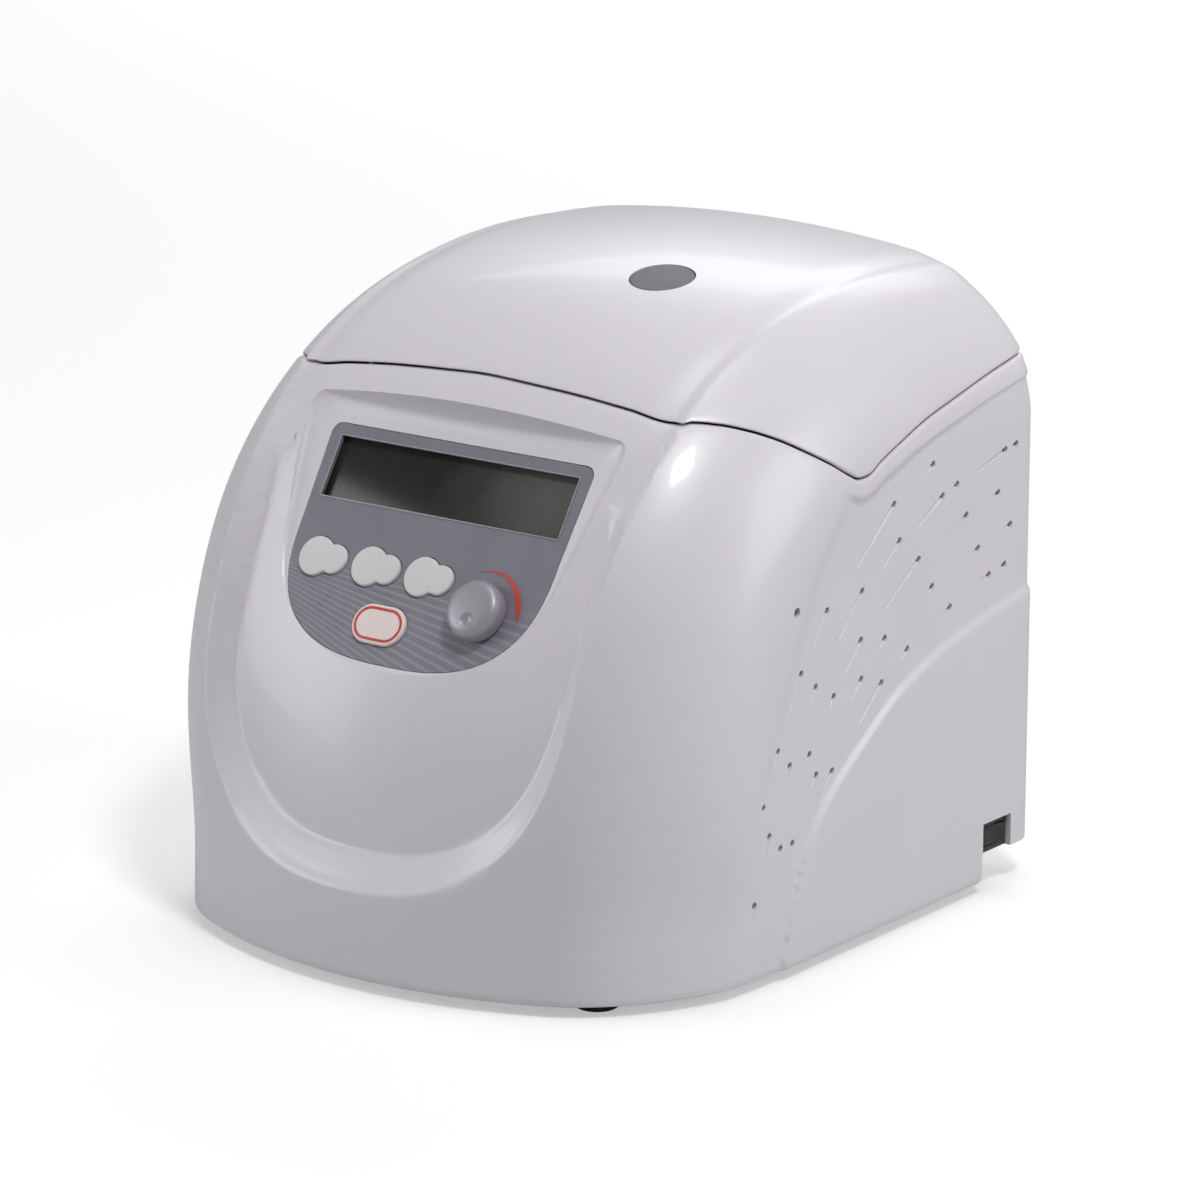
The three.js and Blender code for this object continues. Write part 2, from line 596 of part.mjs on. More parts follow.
function makeKey(outline, [x, y]) {
  const cap = solid(slab(outline, -2.4, 1.4));
  return geometryOf(cap.add(solid(rod(2.9, -12.5, -2, x, y, 12))));
}
for (const [name, x] of KEY_SPOTS) {
  put(name, onPanel(makeKey(keyOutline(x, KEY_ROW, 0), [x, KEY_ROW])), 'keys');
}
put('key_start', onPanel(makeKey(startOutline(0), START_SPOT)), 'start');

// ---------- power switch in the right-hand wall ----------
function makeSwitchFrame() {
  const { y, z, width, height, face } = SWITCH;
  const [w, h] = [width / 2, height / 2];
  const flange = solid(box([face - 2, y - w, z - h], [face, y + w, z + h]));
  const block = solid(box([face - 14, y - w + 1.4, z - h + 1.4], [face - 1, y + w - 1.4, z + h - 1.4]));
  const room = solid(box([face - 10, y - w + 2.6, z - h + 2.4], [face + 1, y + w - 2.6, z + h - 2.4]));
  return cut(union(flange, block), room);
}
put('switch_frame', geometryOf(makeSwitchFrame()), 'black');

// The rocker rests with its rear half pressed in.
function makeRocker() {
  const side = [[-5.5, 2.5], [-1, 7], [1, 7.2], [0, 0], [1, -7.2], [-1, -7], [-5.5, -2.5]];
  const half = SWITCH.height / 2 - 2.7;
  const body = slab(side, -half, half).rotateZ(radians(-SWITCH.tilt));
  return body.translate(SWITCH.face, SWITCH.y, SWITCH.z);
}
put('switch_rocker', makeRocker(), 'black');

// ---------- lid ----------
function makeLidShell() {
  const outer = LID_ROWS.map((row) => lidRing(row, 0));
  const inner = LID_ROWS.map((row) => lidRing(row, WALL));
  const mesh = meshOfRows([...outer.slice().reverse(), ...inner], false);
  const tips = [[0, 0, true], [2 * LID_ROWS.length - 1, WALL, false]];
  for (const [row, inset, flip] of tips) {
    capRow(mesh, row, flip);
    mesh.points[mesh.points.length - 1] = cast(LID_EYE, new THREE.Vector3(0, 0, 1), inset);
  }
  return finishMesh(mesh);
}

const portTop = cast(new THREE.Vector3(PORT.x, PORT.y, 200), new THREE.Vector3(0, 0, 1), 0);
const portNormal = new THREE.Vector3(
  bodyLevel(portTop.x + 1, portTop.y, portTop.z) - bodyLevel(portTop.x - 1, portTop.y, portTop.z),
  bodyLevel(portTop.x, portTop.y + 1, portTop.z) - bodyLevel(portTop.x, portTop.y - 1, portTop.z),
  bodyLevel(portTop.x, portTop.y, portTop.z + 1) - bodyLevel(portTop.x, portTop.y, portTop.z - 1),
).normalize();
const portTurn = new THREE.Quaternion().setFromUnitVectors(new THREE.Vector3(0, 0, 1), portNormal);
const atPort = (geometry) => geometry.applyQuaternion(portTurn).translate(...portTop.toArray());

const lidShell = solid(makeLidShell()).subtract(solid(atPort(rod(PORT.radius + GAP, -12, 12, 0, 0, 32))));
put('lid_shell', geometryOf(lidShell), 'shell');
put('viewing_port', atPort(rod(PORT.radius, -3, -0.4, 0, 0, 32)), 'smoked');

function makeLiner() {
  const { radius, bottom, plate, wall } = LINER;
  const room = bodyVolume(WALL + 4, plate - 2, plate + wall + 2);
  const sheet = solid(box([-150, -90, plate], [150, 160, plate + wall])).intersect(room);
  const drum = (r, low, high) => turned([[0, low], [r, low], [r, high], [0, high]], 40, 0, ROTOR_Y);
  const cup = solid(drum(radius, bottom, plate + 1));
  const inside = drum(radius - wall, bottom + wall, plate + 40);
  const sight = rod(PORT.radius + GAP, bottom - 1, bottom + 10, PORT.x, PORT.y, 32);
  return cut(union(sheet, cup), solid(inside), solid(sight));
}
put('lid_liner', geometryOf(makeLiner()), 'liner');
put('sight_glass', rod(PORT.radius, LINER.bottom, LINER.bottom + LINER.wall, PORT.x, PORT.y, 32), 'smoked');

const BOLT_ROOM = 0.6; // round a latch bolt
const STRIKER = { front: -47.5, back: -44.5, low: 193.5, high: 228, halfWidth: 6 };
for (const [side, sign] of [['left', -1], ['right', 1]]) {
  const x = sign * LATCH.x;
  const { front, back, low, high, halfWidth } = STRIKER;
  const [bx, , bz] = LATCH.bolt.map((v) => v / 2);
  const blade = solid(box([x - halfWidth, front, low], [x + halfWidth, back, high]));
  const [ex, ez] = [bx + BOLT_ROOM, bz + BOLT_ROOM];
  const eye = solid(box([x - ex, front - 1, LATCH.boltZ - ez], [x + ex, back + 1, LATCH.boltZ + ez]));
  put(`striker_${side}`, geometryOf(blade.subtract(eye)), 'steel');
}

// ---------- latches behind the front of the casing ----------
for (const [side, sign] of [['left', -1], ['right', 1]]) {
  const x = sign * LATCH.x;
  const [w, length, h] = LATCH.bolt;
  const back = HOOD.back - WALL - GAP;
  const low = LATCH.boltZ - 7;
  const housing = solid(box([x - 7, back - 14, low], [x + 7, back, low + 14]));
  const [cx, cz] = [w / 2 + 0.5, h / 2 + 0.5];
  const channel = solid(box([x - cx, back - 12, LATCH.boltZ - cz], [x + cx, back + 1, LATCH.boltZ + cz]));
  put(`latch_housing_${side}`, geometryOf(housing.subtract(channel)), 'black');
  const tip = HOOD.back - 0.4;
  const bolt = box([x - w / 2, tip - length, LATCH.boltZ - h / 2], [x + w / 2, tip, LATCH.boltZ + h / 2]);
  put(`latch_bolt_${side}`, bolt, 'steel');
}

// ---------- hinges on the rear wall ----------
const FOLD = { inner: 10.5, gap: 0.5, outer: 25, leaf: 2, off: 0.4 };

const onHinge = (radius, low, high, sides) => rodAlongX(radius, low, high, HINGE.y, HINGE.z, sides);

function knuckles(spans, centreX) {
  return spans.map(([a, b]) => {
    const bore = solid(onHinge(HINGE.pin + GAP, centreX + a - 1, centreX + b + 1));
    return solid(onHinge(HINGE.knuckle, centreX + a, centreX + b)).subtract(bore);
  });
}

function leafOf(spans, centreX, low, high, root) {
  const front = REAR_Y + FOLD.off;
  const { outer, leaf } = FOLD;
  const plate = solid(box([centreX - outer, front, low], [centreX + outer, front + leaf, high]));
  const webs = spans.map(([a, b]) => {
    const [z0, z1] = root < HINGE.z ? [root, HINGE.z] : [HINGE.z, root];
    const web = solid(box([centreX + a, front, z0], [centreX + b, front + FOLD.leaf, z1]));
    return web.subtract(solid(onHinge(HINGE.pin + 1.5, centreX + a - 1, centreX + b + 1)));
  });
  return union(plate, ...webs, ...knuckles(spans, centreX));
}

for (const [side, sign] of [['left', -1], ['right', 1]]) {
  const x = sign * HINGE.x;
  const outerSpans = [[-FOLD.outer, -FOLD.inner - FOLD.gap], [FOLD.inner + FOLD.gap, FOLD.outer]];
  const innerSpans = [[-FOLD.inner, FOLD.inner]];
  const low = { from: 198, to: HINGE.z - 7 };
  const high = { from: HINGE.z + 7, to: 251 };
  put(`hinge_bracket_${side}`, geometryOf(leafOf(outerSpans, x, low.from, low.to, low.to - 1)), 'steel');
  put(`hinge_leaf_${side}`, geometryOf(leafOf(innerSpans, x, high.from, high.to, high.from + 1)), 'steel');
  put(`hinge_pin_${side}`, onHinge(HINGE.pin, x - FOLD.outer, x + FOLD.outer, 12), 'steel');
}

// ---------- rotor ----------
const spindleProfile = [
  [0, MOTOR.top + GAP], [6, MOTOR.top + GAP], [6, 150], [5, 155], [3, 155], [3, 174], [0, 174],
];
put('spindle', turned(spindleProfile, 20, 0, ROTOR_Y), 'steel');

function makeRotor() {
  const profile = [
    [6.3, 138], [24, 138], [28, 150], [60, 137], [74, 137], [82, 144], [82, 164], [74, 184], [71, 186],
    [66, 186], [38, 159], [34, 158], [3.4, 158], [3.4, 155.4], [5.4, 155.4], [6.3, 150.2],
  ];
  const block = solid(turned(profile, 48, 0, ROTOR_Y));
  const { radius, mouthR, mouthZ, depth, lean } = SOCKET;
  const sockets = Array.from({ length: SOCKETS }, (_, i) => {
    const hole = rod(radius, -depth, 14, 0, 0, 10).rotateY(radians(-lean)).translate(mouthR, 0, mouthZ);
    return solid(hole.rotateZ((2 * Math.PI * i) / SOCKETS).translate(0, ROTOR_Y, 0));
  });
  return cut(block, ...sockets);
}
put('rotor', geometryOf(makeRotor()), 'aluminium');

function makeRotorKnob() {
  const outside = [[14, 158.4], [14, 163], [8, 166], [8, 176], [14, 179], [15, 190], [12, 192], [0, 192]];
  const body = solid(turned([[0, 175], [3.4, 175], [3.4, 158.4], ...outside], 24, 0, ROTOR_Y));
  const flutes = Array.from({ length: 6 }, (_, i) => {
    const turn = (2 * Math.PI * i) / 6;
    return solid(rod(3, 177, 194, 16.5 * Math.cos(turn), ROTOR_Y + 16.5 * Math.sin(turn), 8));
  });
  return cut(body, ...flutes);
}
put('rotor_knob', geometryOf(makeRotorKnob()), 'black');

// ---------- the row's origin is under the middle of the whole object ----------
const rearmost = HINGE.y + HINGE.knuckle;
group.position.y = -(rearmost - REAR_Y) / 2;

export default group;
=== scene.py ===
import json
import math

import bpy
import numpy as np
from mathutils import Matrix, Vector


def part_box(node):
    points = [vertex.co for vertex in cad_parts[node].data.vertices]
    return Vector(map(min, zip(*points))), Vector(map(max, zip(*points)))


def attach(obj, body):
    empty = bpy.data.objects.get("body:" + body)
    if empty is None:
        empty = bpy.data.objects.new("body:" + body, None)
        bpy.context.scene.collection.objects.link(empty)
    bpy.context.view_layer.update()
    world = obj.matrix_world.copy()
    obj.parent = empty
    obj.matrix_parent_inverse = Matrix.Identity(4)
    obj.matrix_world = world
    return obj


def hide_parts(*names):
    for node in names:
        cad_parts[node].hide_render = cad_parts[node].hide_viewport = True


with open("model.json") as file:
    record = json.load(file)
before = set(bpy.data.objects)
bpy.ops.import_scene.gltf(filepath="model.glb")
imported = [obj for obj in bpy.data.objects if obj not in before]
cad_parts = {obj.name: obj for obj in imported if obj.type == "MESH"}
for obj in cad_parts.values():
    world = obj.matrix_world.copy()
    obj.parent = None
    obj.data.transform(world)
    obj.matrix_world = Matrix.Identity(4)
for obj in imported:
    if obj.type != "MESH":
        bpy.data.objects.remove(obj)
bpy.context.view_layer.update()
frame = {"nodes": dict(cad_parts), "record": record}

MM = 0.001

# ---------- driving sizes of the body, in millimetres from its own axis ----------
HALF_WIDTH = 143.0
REAR_Y = 152.0
EDGE_Z = 5.0
WALL = 3.0
SEAM_GAP = 1.0
AXIS_Y = 30.0
PIVOT_Y, PIVOT_Z = 60.0, 30.0
# the body's side profile: front to back, height
PROFILE = [
    (-152, -10), (-152, 5), (-150, 60), (-142, 110), (-124, 160), (-98, 205), (-62, 241),
    (-20, 265), (30, 279), (80, 284), (120, 283), (160, 279), (200, 272),
]
# the seam's height by degrees from the front, worked out by a camera fit from points on the photo
SEAM = [
    (0, 241.8), (15, 241), (30, 239.4), (42, 236.7), (50.5, 233.4), (53, 234.3), (57.7, 233.2),
    (63, 230.2), (68, 225.8), (73.5, 219.1), (78.4, 212.5), (81.7, 207.5), (84.5, 204.4),
    (86.5, 204.6), (91, 209.2), (96, 213.5), (104.4, 220.1), (114, 225.5), (125, 231.3),
    (139, 236.8), (150, 238), (180, 238),
]
# how deep the front shield is sunk, by degrees up the profile
SHIELD_DEPTH = [(0, 9.5), (27, 11), (43, 12), (52, 8.5), (59, 4), (66, 2.5), (90, 2), (120, 1)]
SHIELD_HALF, SHIELD_FLARE, SHIELD_WIDEST = 97.0, 0.045, 100.5
SHIELD_BEND_Z, SHIELD_DROP, SHIELD_POWER = 150.0, 108.0, 2.6
LEDGE_BOTTOM, LEDGE_SIDE = 18.0, 10.0

# the CAD model is centred front to back with its hinges, so its body stands a little forward
SHIFT_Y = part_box("casing")[1].y - REAR_Y * MM

PANEL_TILT = math.radians(57)
PANEL_AT = (0.0, -85.6, 187.2)
PANEL_HALF, PANEL_TOP_HALF, PANEL_TOP = 68.3, 69.6, 33.0
PANEL_BEND, PANEL_DROP, PANEL_POWER = -10.0, 57.0, 2.7
SCOOP_DEEP, SCOOP_LONG = 4.2, 12.5
DISPLAY_HALF, DISPLAY_HIGH = 63.2, 27.4
KEY_X = {"key_left": -49.7, "key_middle": -21.1, "key_right": 7.2}
KEY_ROW = -26.6
START_AT = (-8.9, -50.3)
KNOB_AT = (39.0, -37.0)
KNOB_RADIUS = 12.6
ROTOR_Y = 52.0
DECK_LOW, DECK_TOP, DECK_HOLE = 187.0, 190.0, 89.0
HOOD_HALF, HOOD_BACK, HOOD_TOP = 100.0, -53.0, 228.0
PORT_AT, PORT_RADIUS = (34.0, 24.0), 14.0
LATCH_X, LATCH_Z = 89.0, 198.5
STEP_Y, STEP_Z = 112.0, 16.5
SWITCH_Y, SWITCH_Z, SWITCH_WIDE, SWITCH_HIGH = 123.5, 23.9, 21.0, 14.0
REAR_HALF, REAR_LOW, REAR_HIGH = 75.0, 26.0, 96.0


# ---------- curves ----------
def natural_spline(points):
    xs, ys = np.array(points, float).T
    h, n = np.diff(xs), len(xs)
    matrix, right = np.eye(n), np.zeros(n)
    for i in range(1, n - 1):
        matrix[i, i - 1 : i + 2] = h[i - 1] / 6, (h[i - 1] + h[i]) / 3, h[i] / 6
        right[i] = (ys[i + 1] - ys[i]) / h[i] - (ys[i] - ys[i - 1]) / h[i - 1]
    second = np.linalg.solve(matrix, right)

    def value(x):
        x = np.clip(x, xs[0], xs[-1])
        i = np.clip(np.searchsorted(xs, x) - 1, 0, n - 2)
        a, b = (xs[i + 1] - x) / h[i], (x - xs[i]) / h[i]
        curve = ((a**3 - a) * second[i] + (b**3 - b) * second[i + 1]) * h[i] ** 2 / 6
        return a * ys[i] + b * ys[i + 1] + curve

    return value


def monotone_curve(points):
    xs, ys = np.array(points, float).T
    h = np.diff(xs)
    steps = np.diff(ys) / h
    slopes = np.zeros(len(xs))
    before, after = steps[:-1], steps[1:]
    product = before * after
    total = np.where(product > 0, before + after, 1)
    slopes[1:-1] = np.where(product > 0, 2 * product / total, 0)

    def value(x):
        x = np.clip(x, xs[0], xs[-1])
        i = np.clip(np.searchsorted(xs, x) - 1, 0, len(xs) - 2)
        t = (x - xs[i]) / h[i]
        ease = t * t * (3 - 2 * t)
        pull = t * (1 - t) * ((1 - t) * slopes[i] - t * slopes[i + 1])
        return ys[i] + (ys[i + 1] - ys[i]) * ease + h[i] * pull

    return value


def smooth(low, high, x):
    t = np.clip((x - low) / (high - low), 0, 1)
    return t * t * (3 - 2 * t)


def profile_angle(y, z):
    angle = np.degrees(np.arctan2(z - PIVOT_Z, PIVOT_Y - y))
    return np.where(angle < -90, angle + 360, angle)


def profile_reach(y, z):
    return np.hypot(PIVOT_Y - y, z - PIVOT_Z)


profile_radius = natural_spline(
    [(float(profile_angle(y, z)), float(profile_reach(y, z))) for y, z in PROFILE]
)
seam_height = monotone_curve(SEAM)
shield_depth = monotone_curve(SHIELD_DEPTH)
# front edge of the vented side field (height to y) and its lower edge (y to height)
field_front = monotone_curve([(0, -72), (14, -70), (63, -64), (109, -48), (167, -21), (205, 6), (240, 20)])
field_low = monotone_curve(
    [(-45, -20), (-30, 27), (-18, 54), (-1, 73), (20, 88), (50, 106), (95, 120), (160, 129)]
)


# ---------- the body's surface ----------
def shield_sink(x, z, angle):
    """Depth of the sunk front shield: a ledge with a small step at each of its edges runs round it."""
    across = np.abs(x) / SHIELD_HALF
    down = np.clip((SHIELD_BEND_Z - z) / SHIELD_DROP, 0, None)
    reach = np.maximum((across**SHIELD_POWER + down**SHIELD_POWER) ** (1 / SHIELD_POWER), 1e-6)
    low_inside = np.hypot(x, SHIELD_BEND_Z - z) * (1 / reach - 1)
    width = np.minimum(SHIELD_HALF + SHIELD_FLARE * (z - SHIELD_BEND_Z), SHIELD_WIDEST)
    inside = np.where(z >= SHIELD_BEND_Z, width - np.abs(x), low_inside)
    ledge = LEDGE_SIDE + (LEDGE_BOTTOM - LEDGE_SIDE) * np.clip(down * down, 0, 1)
    t = inside / ledge
    step = 0.14 * smooth(0, 0.25, t) + 0.14 * smooth(0.75, 1.0, t)
    stepped = step + 0.72 * (0.5 * smooth(0.04, 0.96, t) + 0.5 * np.clip((t - 0.04) / 0.92, 0, 1))
    soft = smooth(0, 0.55, t)
    on_lid = smooth(52, 60, angle)
    return shield_depth(angle) * (stepped * (1 - on_lid) + soft * on_lid)


def side_sink(y, z, seam):
    """Depth of the vented field in each side wall, under a lip along the seam."""
    front = smooth(0, 12, (y - field_front(z)) * 0.9)
    low = smooth(0, 3.2, (z - field_low(y)) * 0.85)
    top = smooth(0, 3.0, seam - 7.5 - z)
    return 1.9 * front * low * top


def round_join(a, b, r):
    both = (a > -r) & (b > -r)
    return np.where(both, np.hypot(np.maximum(a + r, 0), np.maximum(b + r, 0)) - r, np.maximum(a, b))


def body_level(x, y, z, seam):
    angle = profile_angle(y, z)
    bow = 207 + 413 * smooth(0, 80, angle)
    sag = bow - np.sqrt(np.maximum(bow**2 - x**2, 1))
    sheet = profile_reach(y, z) + sag - profile_radius(angle) + shield_sink(x, z, angle)
    sides = round_join(sheet, np.abs(x) - HALF_WIDTH + side_sink(y, z, seam), 50 + 12 * smooth(0, 70, angle))
    return round_join(sides, y - REAR_Y, 8 + 8 * np.clip((z - 237) / 25, 0, 1))


def cast(start, direction, inset, seam):
    """Where rays from inside the body meet its surface, sunk by inset."""
    near, far = np.zeros(direction.shape[:-1]), np.full(direction.shape[:-1], 400.0)
    for _ in range(34):
        middle = (near + far) / 2
        at = start + direction * middle[..., None]
        inside = body_level(at[..., 0], at[..., 1], at[..., 2], seam) + inset < 0
        near, far = np.where(inside, middle, near), np.where(inside, far, middle)
    return start + direction * near[..., None]


def wall_points(angle, z, inset):
    angle, z, inset = np.broadcast_arrays(angle, z, inset)
    turn = np.radians(angle)
    start = np.stack([0 * z, AXIS_Y + 0 * z, z], -1)
    direction = np.stack([np.sin(turn), -np.cos(turn), 0 * turn], -1)
    return cast(start, direction, inset, seam_height(np.abs(angle)))


def spread(spans):
    """Values from one end to the other, with their own step on each span."""
    values = [np.arange(low, high, step) for low, high, step in spans]
    return np.concatenate([*values, [spans[-1][1]]])


# degrees from the front: close together where the edges of the shield and of the side fields run
HALF_TURN = spread([
    (0, 22, 1.4), (22, 40, 0.25), (40, 53, 0.4), (53, 60, 1.0),
    (60, 122, 0.8), (122, 137, 1.2), (137, 180, 3),
])
ANGLES = np.concatenate([HALF_TURN, -HALF_TURN[-2:0:-1]])
COARSE = np.array([
    0, 8, 16, 24, 30, 33, 36, 42, 50, 58, 66, 74, 82, 88, 92, 98, 106, 114, 122, 128, 131, 134, 142, 155, 168,
])
COARSE = np.concatenate([COARSE, [180], -COARSE[:0:-1]])


# ---------- making meshes ----------
BODY = Matrix.Translation((0, SHIFT_Y, 0))


def at(x, y, z=0.0, base=BODY):
    """A frame moved on from another by some millimetres."""
    return base @ Matrix.Translation((x * MM, y * MM, z * MM))


PANEL = at(*PANEL_AT) @ Matrix.Rotation(PANEL_TILT, 4, "X")
ROTOR = at(0, ROTOR_Y)


def make_active(obj):
    if bpy.context.object and bpy.context.object.mode != "OBJECT":
        bpy.ops.object.mode_set(mode="OBJECT")
    bpy.ops.object.select_all(action="DESELECT")
    obj.select_set(True)
    bpy.context.view_layer.objects.active = obj
    return obj


def mesh_object(name, points, faces, place=BODY, edges=()):
    """A new mesh from points in millimetres, put in its place."""
    mesh = bpy.data.meshes.new(name)
    mesh.from_pydata((np.asarray(points, float).reshape(-1, 3) * MM).tolist(), list(edges), faces)
    mesh.transform(place)
    obj = bpy.data.objects.new(name, mesh)
    bpy.context.scene.collection.objects.link(obj)
    return make_active(obj)


def in_edit(obj, *steps):
    """Runs mesh operators, each on everything selected, and leaves the faces turned outwards."""
    make_active(obj)
    bpy.ops.object.mode_set(mode="EDIT")
    bpy.ops.mesh.select_all(action="SELECT")
    for step in steps:
        step()
        bpy.ops.mesh.select_all(action="SELECT")
    bpy.ops.mesh.normals_make_consistent(inside=False)
    bpy.ops.object.mode_set(mode="OBJECT")
    return obj


def grid_faces(rows, count, closed):
    faces = []
    for r in range(rows if closed else rows - 1):
        here, after = r * count, ((r + 1) % rows) * count
        for c in range(count):
            d = (c + 1) % count
            faces.append((here + c, here + d, after + d, after + c))
    return faces


def ring_shell(name, rows, place=BODY):
    """Rings of points one after another, the last joined to the first: a wall with both its faces."""
    rows = np.array(rows)
    return in_edit(mesh_object(name, rows, grid_faces(rows.shape[0], rows.shape[1], True), place))


def loft(name, rows, place=BODY):
    """Rings of points one after another, closed by a face at each end."""
    rows = np.array(rows, float)
    count, sides = rows.shape[0], rows.shape[1]
    faces = grid_faces(count, sides, False)
    faces += [tuple(range(sides)), tuple(range((count - 1) * sides, count * sides))]
    return in_edit(mesh_object(name, rows, faces, place))


def modify(obj, kind, **values):
    make_active(obj)
    modifier = obj.modifiers.new(kind.lower(), kind)
    for key, value in values.items():
        setattr(modifier, key, value)
    bpy.ops.object.modifier_apply(modifier=modifier.name)
    return obj


def boolean(obj, operation, *others):
    for other in others:
        modify(obj, "BOOLEAN", object=other, operation=operation, solver="MANIFOLD")
        bpy.data.objects.remove(other)
    return obj


def cut(obj, *tools):
    return boolean(obj, "DIFFERENCE", *tools)


def join(obj, *others):
    return boolean(obj, "UNION", *others)


def together(tools):
    """Several tools that don't touch, as one."""
    make_active(tools[0])
    for tool in tools:
        tool.select_set(True)
    bpy.ops.object.join()
    return tools[0]


def rounded(obj, width, segments=3, angle=35):
    return modify(
        obj, "BEVEL", width=width * MM, segments=segments, limit_method="ANGLE",
        angle_limit=math.radians(angle),
    )


def soften(obj, angle=30):
    make_active(obj)
    bpy.ops.object.shade_smooth_by_angle(angle=math.radians(angle))
    return obj


def settle(obj, place):
    """Takes a new primitive's own place into its mesh, and puts it in its frame."""
    bpy.ops.object.transform_apply(location=True, rotation=True, scale=True)
    obj.data.transform(place)
    return obj


def block(low, high, place=BODY, name="tool"):
    low, high = Vector(low) * MM, Vector(high) * MM
    bpy.ops.object.select_all(action="DESELECT")
    bpy.ops.mesh.primitive_cube_add(size=1, location=(low + high) / 2)
    obj = bpy.context.object
    obj.name = name
    obj.scale = high - low
    return settle(obj, place)


def rod(start, end, radius, end_radius=None, sides=24, place=BODY, name="tool"):
    start, end = Vector(start) * MM, Vector(end) * MM
    bpy.ops.object.select_all(action="DESELECT")
    bpy.ops.mesh.primitive_cone_add(
        vertices=sides, radius1=radius * MM, radius2=(radius if end_radius is None else end_radius) * MM,
        depth=(end - start).length, location=(start + end) / 2,
        rotation=(end - start).to_track_quat("Z", "Y").to_euler(),
    )
    obj = bpy.context.object
    obj.name = name
    return settle(obj, place)


def ball(centre, radius, place=BODY, name="tool"):
    bpy.ops.object.select_all(action="DESELECT")
    bpy.ops.mesh.primitive_uv_sphere_add(
        segments=48, ring_count=24, radius=radius * MM, location=Vector(centre) * MM
    )
    obj = bpy.context.object
    obj.name = name
    return settle(obj, place)


def spun(name, profile, place=ROTOR, sides=96):
    """A turned piece: an outline of radius and height pairs, spun about its own upright axis."""
    on_axis = profile[0][0] == 0 and profile[-1][0] == 0
    count = len(profile)
    edges = [(i, (i + 1) % count) for i in range(count - 1 if on_axis else count)]
    obj = mesh_object(name, [(r, 0, z) for r, z in profile], [], Matrix.Identity(4), edges)
    in_edit(
        obj,
        lambda: bpy.ops.mesh.spin(steps=sides, angle=2 * math.pi, center=(0, 0, 0), axis=(0, 0, 1)),
        lambda: bpy.ops.mesh.remove_doubles(threshold=0.01 * MM),
    )
    obj.data.transform(place)
    return obj


def plate(name, outline, low, high, place=PANEL):
    """An outline drawn flat and extruded from one height to another."""
    corners = [(x, y, low) for x, y in outline]
    obj = mesh_object(name, corners, [tuple(range(len(corners)))], Matrix.Identity(4))
    rise = (0, 0, (high - low) * MM)
    in_edit(obj, lambda: bpy.ops.mesh.extrude_region_move(TRANSFORM_OT_translate={"value": rise}))
    obj.data.transform(place)
    return obj


def piece(obj, body, slot, *nodes):
    """Declares a finished piece: what it rides on, its finish, and the CAD nodes that it stands for."""
    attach(obj, body)
    if nodes:
        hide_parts(*nodes)
    obj.data.materials.clear()
    obj.data.materials.append(FINISHES[slot])
    return obj


# ---------- finishes ----------
def new_finish(name, colour, roughness, metallic=0.0, coat=0.0):
    made = bpy.data.materials.new(name)
    made.use_nodes = True
    nodes, links = made.node_tree.nodes, made.node_tree.links
    shader = nodes["Principled BSDF"]
    shader.inputs["Base Color"].default_value = (*colour, 1)
    shader.inputs["Roughness"].default_value = roughness
    shader.inputs["Metallic"].default_value = metallic
    shader.inputs["Coat Weight"].default_value = coat
    place = nodes.new("ShaderNodeTexCoord").outputs["Object"]
    return made, nodes, links, shader, place


def noise(nodes, links, place, scale, detail=4.0, stretch=None):
    """Noise on the piece's own coordinates, scale in grains to the metre."""
    texture = nodes.new("ShaderNodeTexNoise")
    texture.inputs["Scale"].default_value = scale
    texture.inputs["Detail"].default_value = detail
    if stretch:
        mapping = nodes.new("ShaderNodeMapping")
        mapping.inputs["Scale"].default_value = stretch
        links.new(place, mapping.inputs["Vector"])
        place = mapping.outputs["Vector"]
    links.new(place, texture.inputs["Vector"])
    return texture.outputs["Fac"]


def span(nodes, links, value, low, high, out_low=0.0, out_high=1.0):
    ramp = nodes.new("ShaderNodeMapRange")
    for socket, number in zip(("From Min", "From Max", "To Min", "To Max"), (low, high, out_low, out_high)):
        ramp.inputs[socket].default_value = number
    links.new(value, ramp.inputs["Value"])
    return ramp.outputs["Result"]


def blend_colour(nodes, links, amount, first, second):
    mix = nodes.new("ShaderNodeMix")
    mix.data_type = "RGBA"
    for socket, colour in (("A", first), ("B", second)):
        target = [s for s in mix.inputs if s.name == socket and s.type == "RGBA"][0]
        if isinstance(colour, bpy.types.NodeSocket):
            links.new(colour, target)
        else:
            target.default_value = (*colour, 1)
    links.new(amount, mix.inputs["Factor"])
    return [s for s in mix.outputs if s.type == "RGBA"][0]


def bump(nodes, links, height, depth, strength=1.0):
    made = nodes.new("ShaderNodeBump")
    made.inputs["Strength"].default_value = strength
    made.inputs["Distance"].default_value = depth * MM
    links.new(height, made.inputs["Height"])
    return made.outputs["Normal"]


def moulded(name, light, dark, roughness, grain=1800.0, depth=0.02, coat=0.0, metallic=0.0):
    """Moulded or painted surface: fine grain in its relief, faint clouds in its colour and gloss."""
    made, nodes, links, shader, place = new_finish(name, light, roughness, metallic, coat)
    clouds = noise(nodes, links, place, 14.0, 3.0)
    amount = span(nodes, links, clouds, 0.35, 0.65)
    links.new(blend_colour(nodes, links, amount, light, dark), shader.inputs["Base Color"])
    fine = noise(nodes, links, place, grain, 2.0)
    spread_out = span(nodes, links, fine, 0.3, 0.7, roughness - 0.04, roughness + 0.05)
    links.new(spread_out, shader.inputs["Roughness"])
    links.new(bump(nodes, links, fine, depth), shader.inputs["Normal"])
    return made


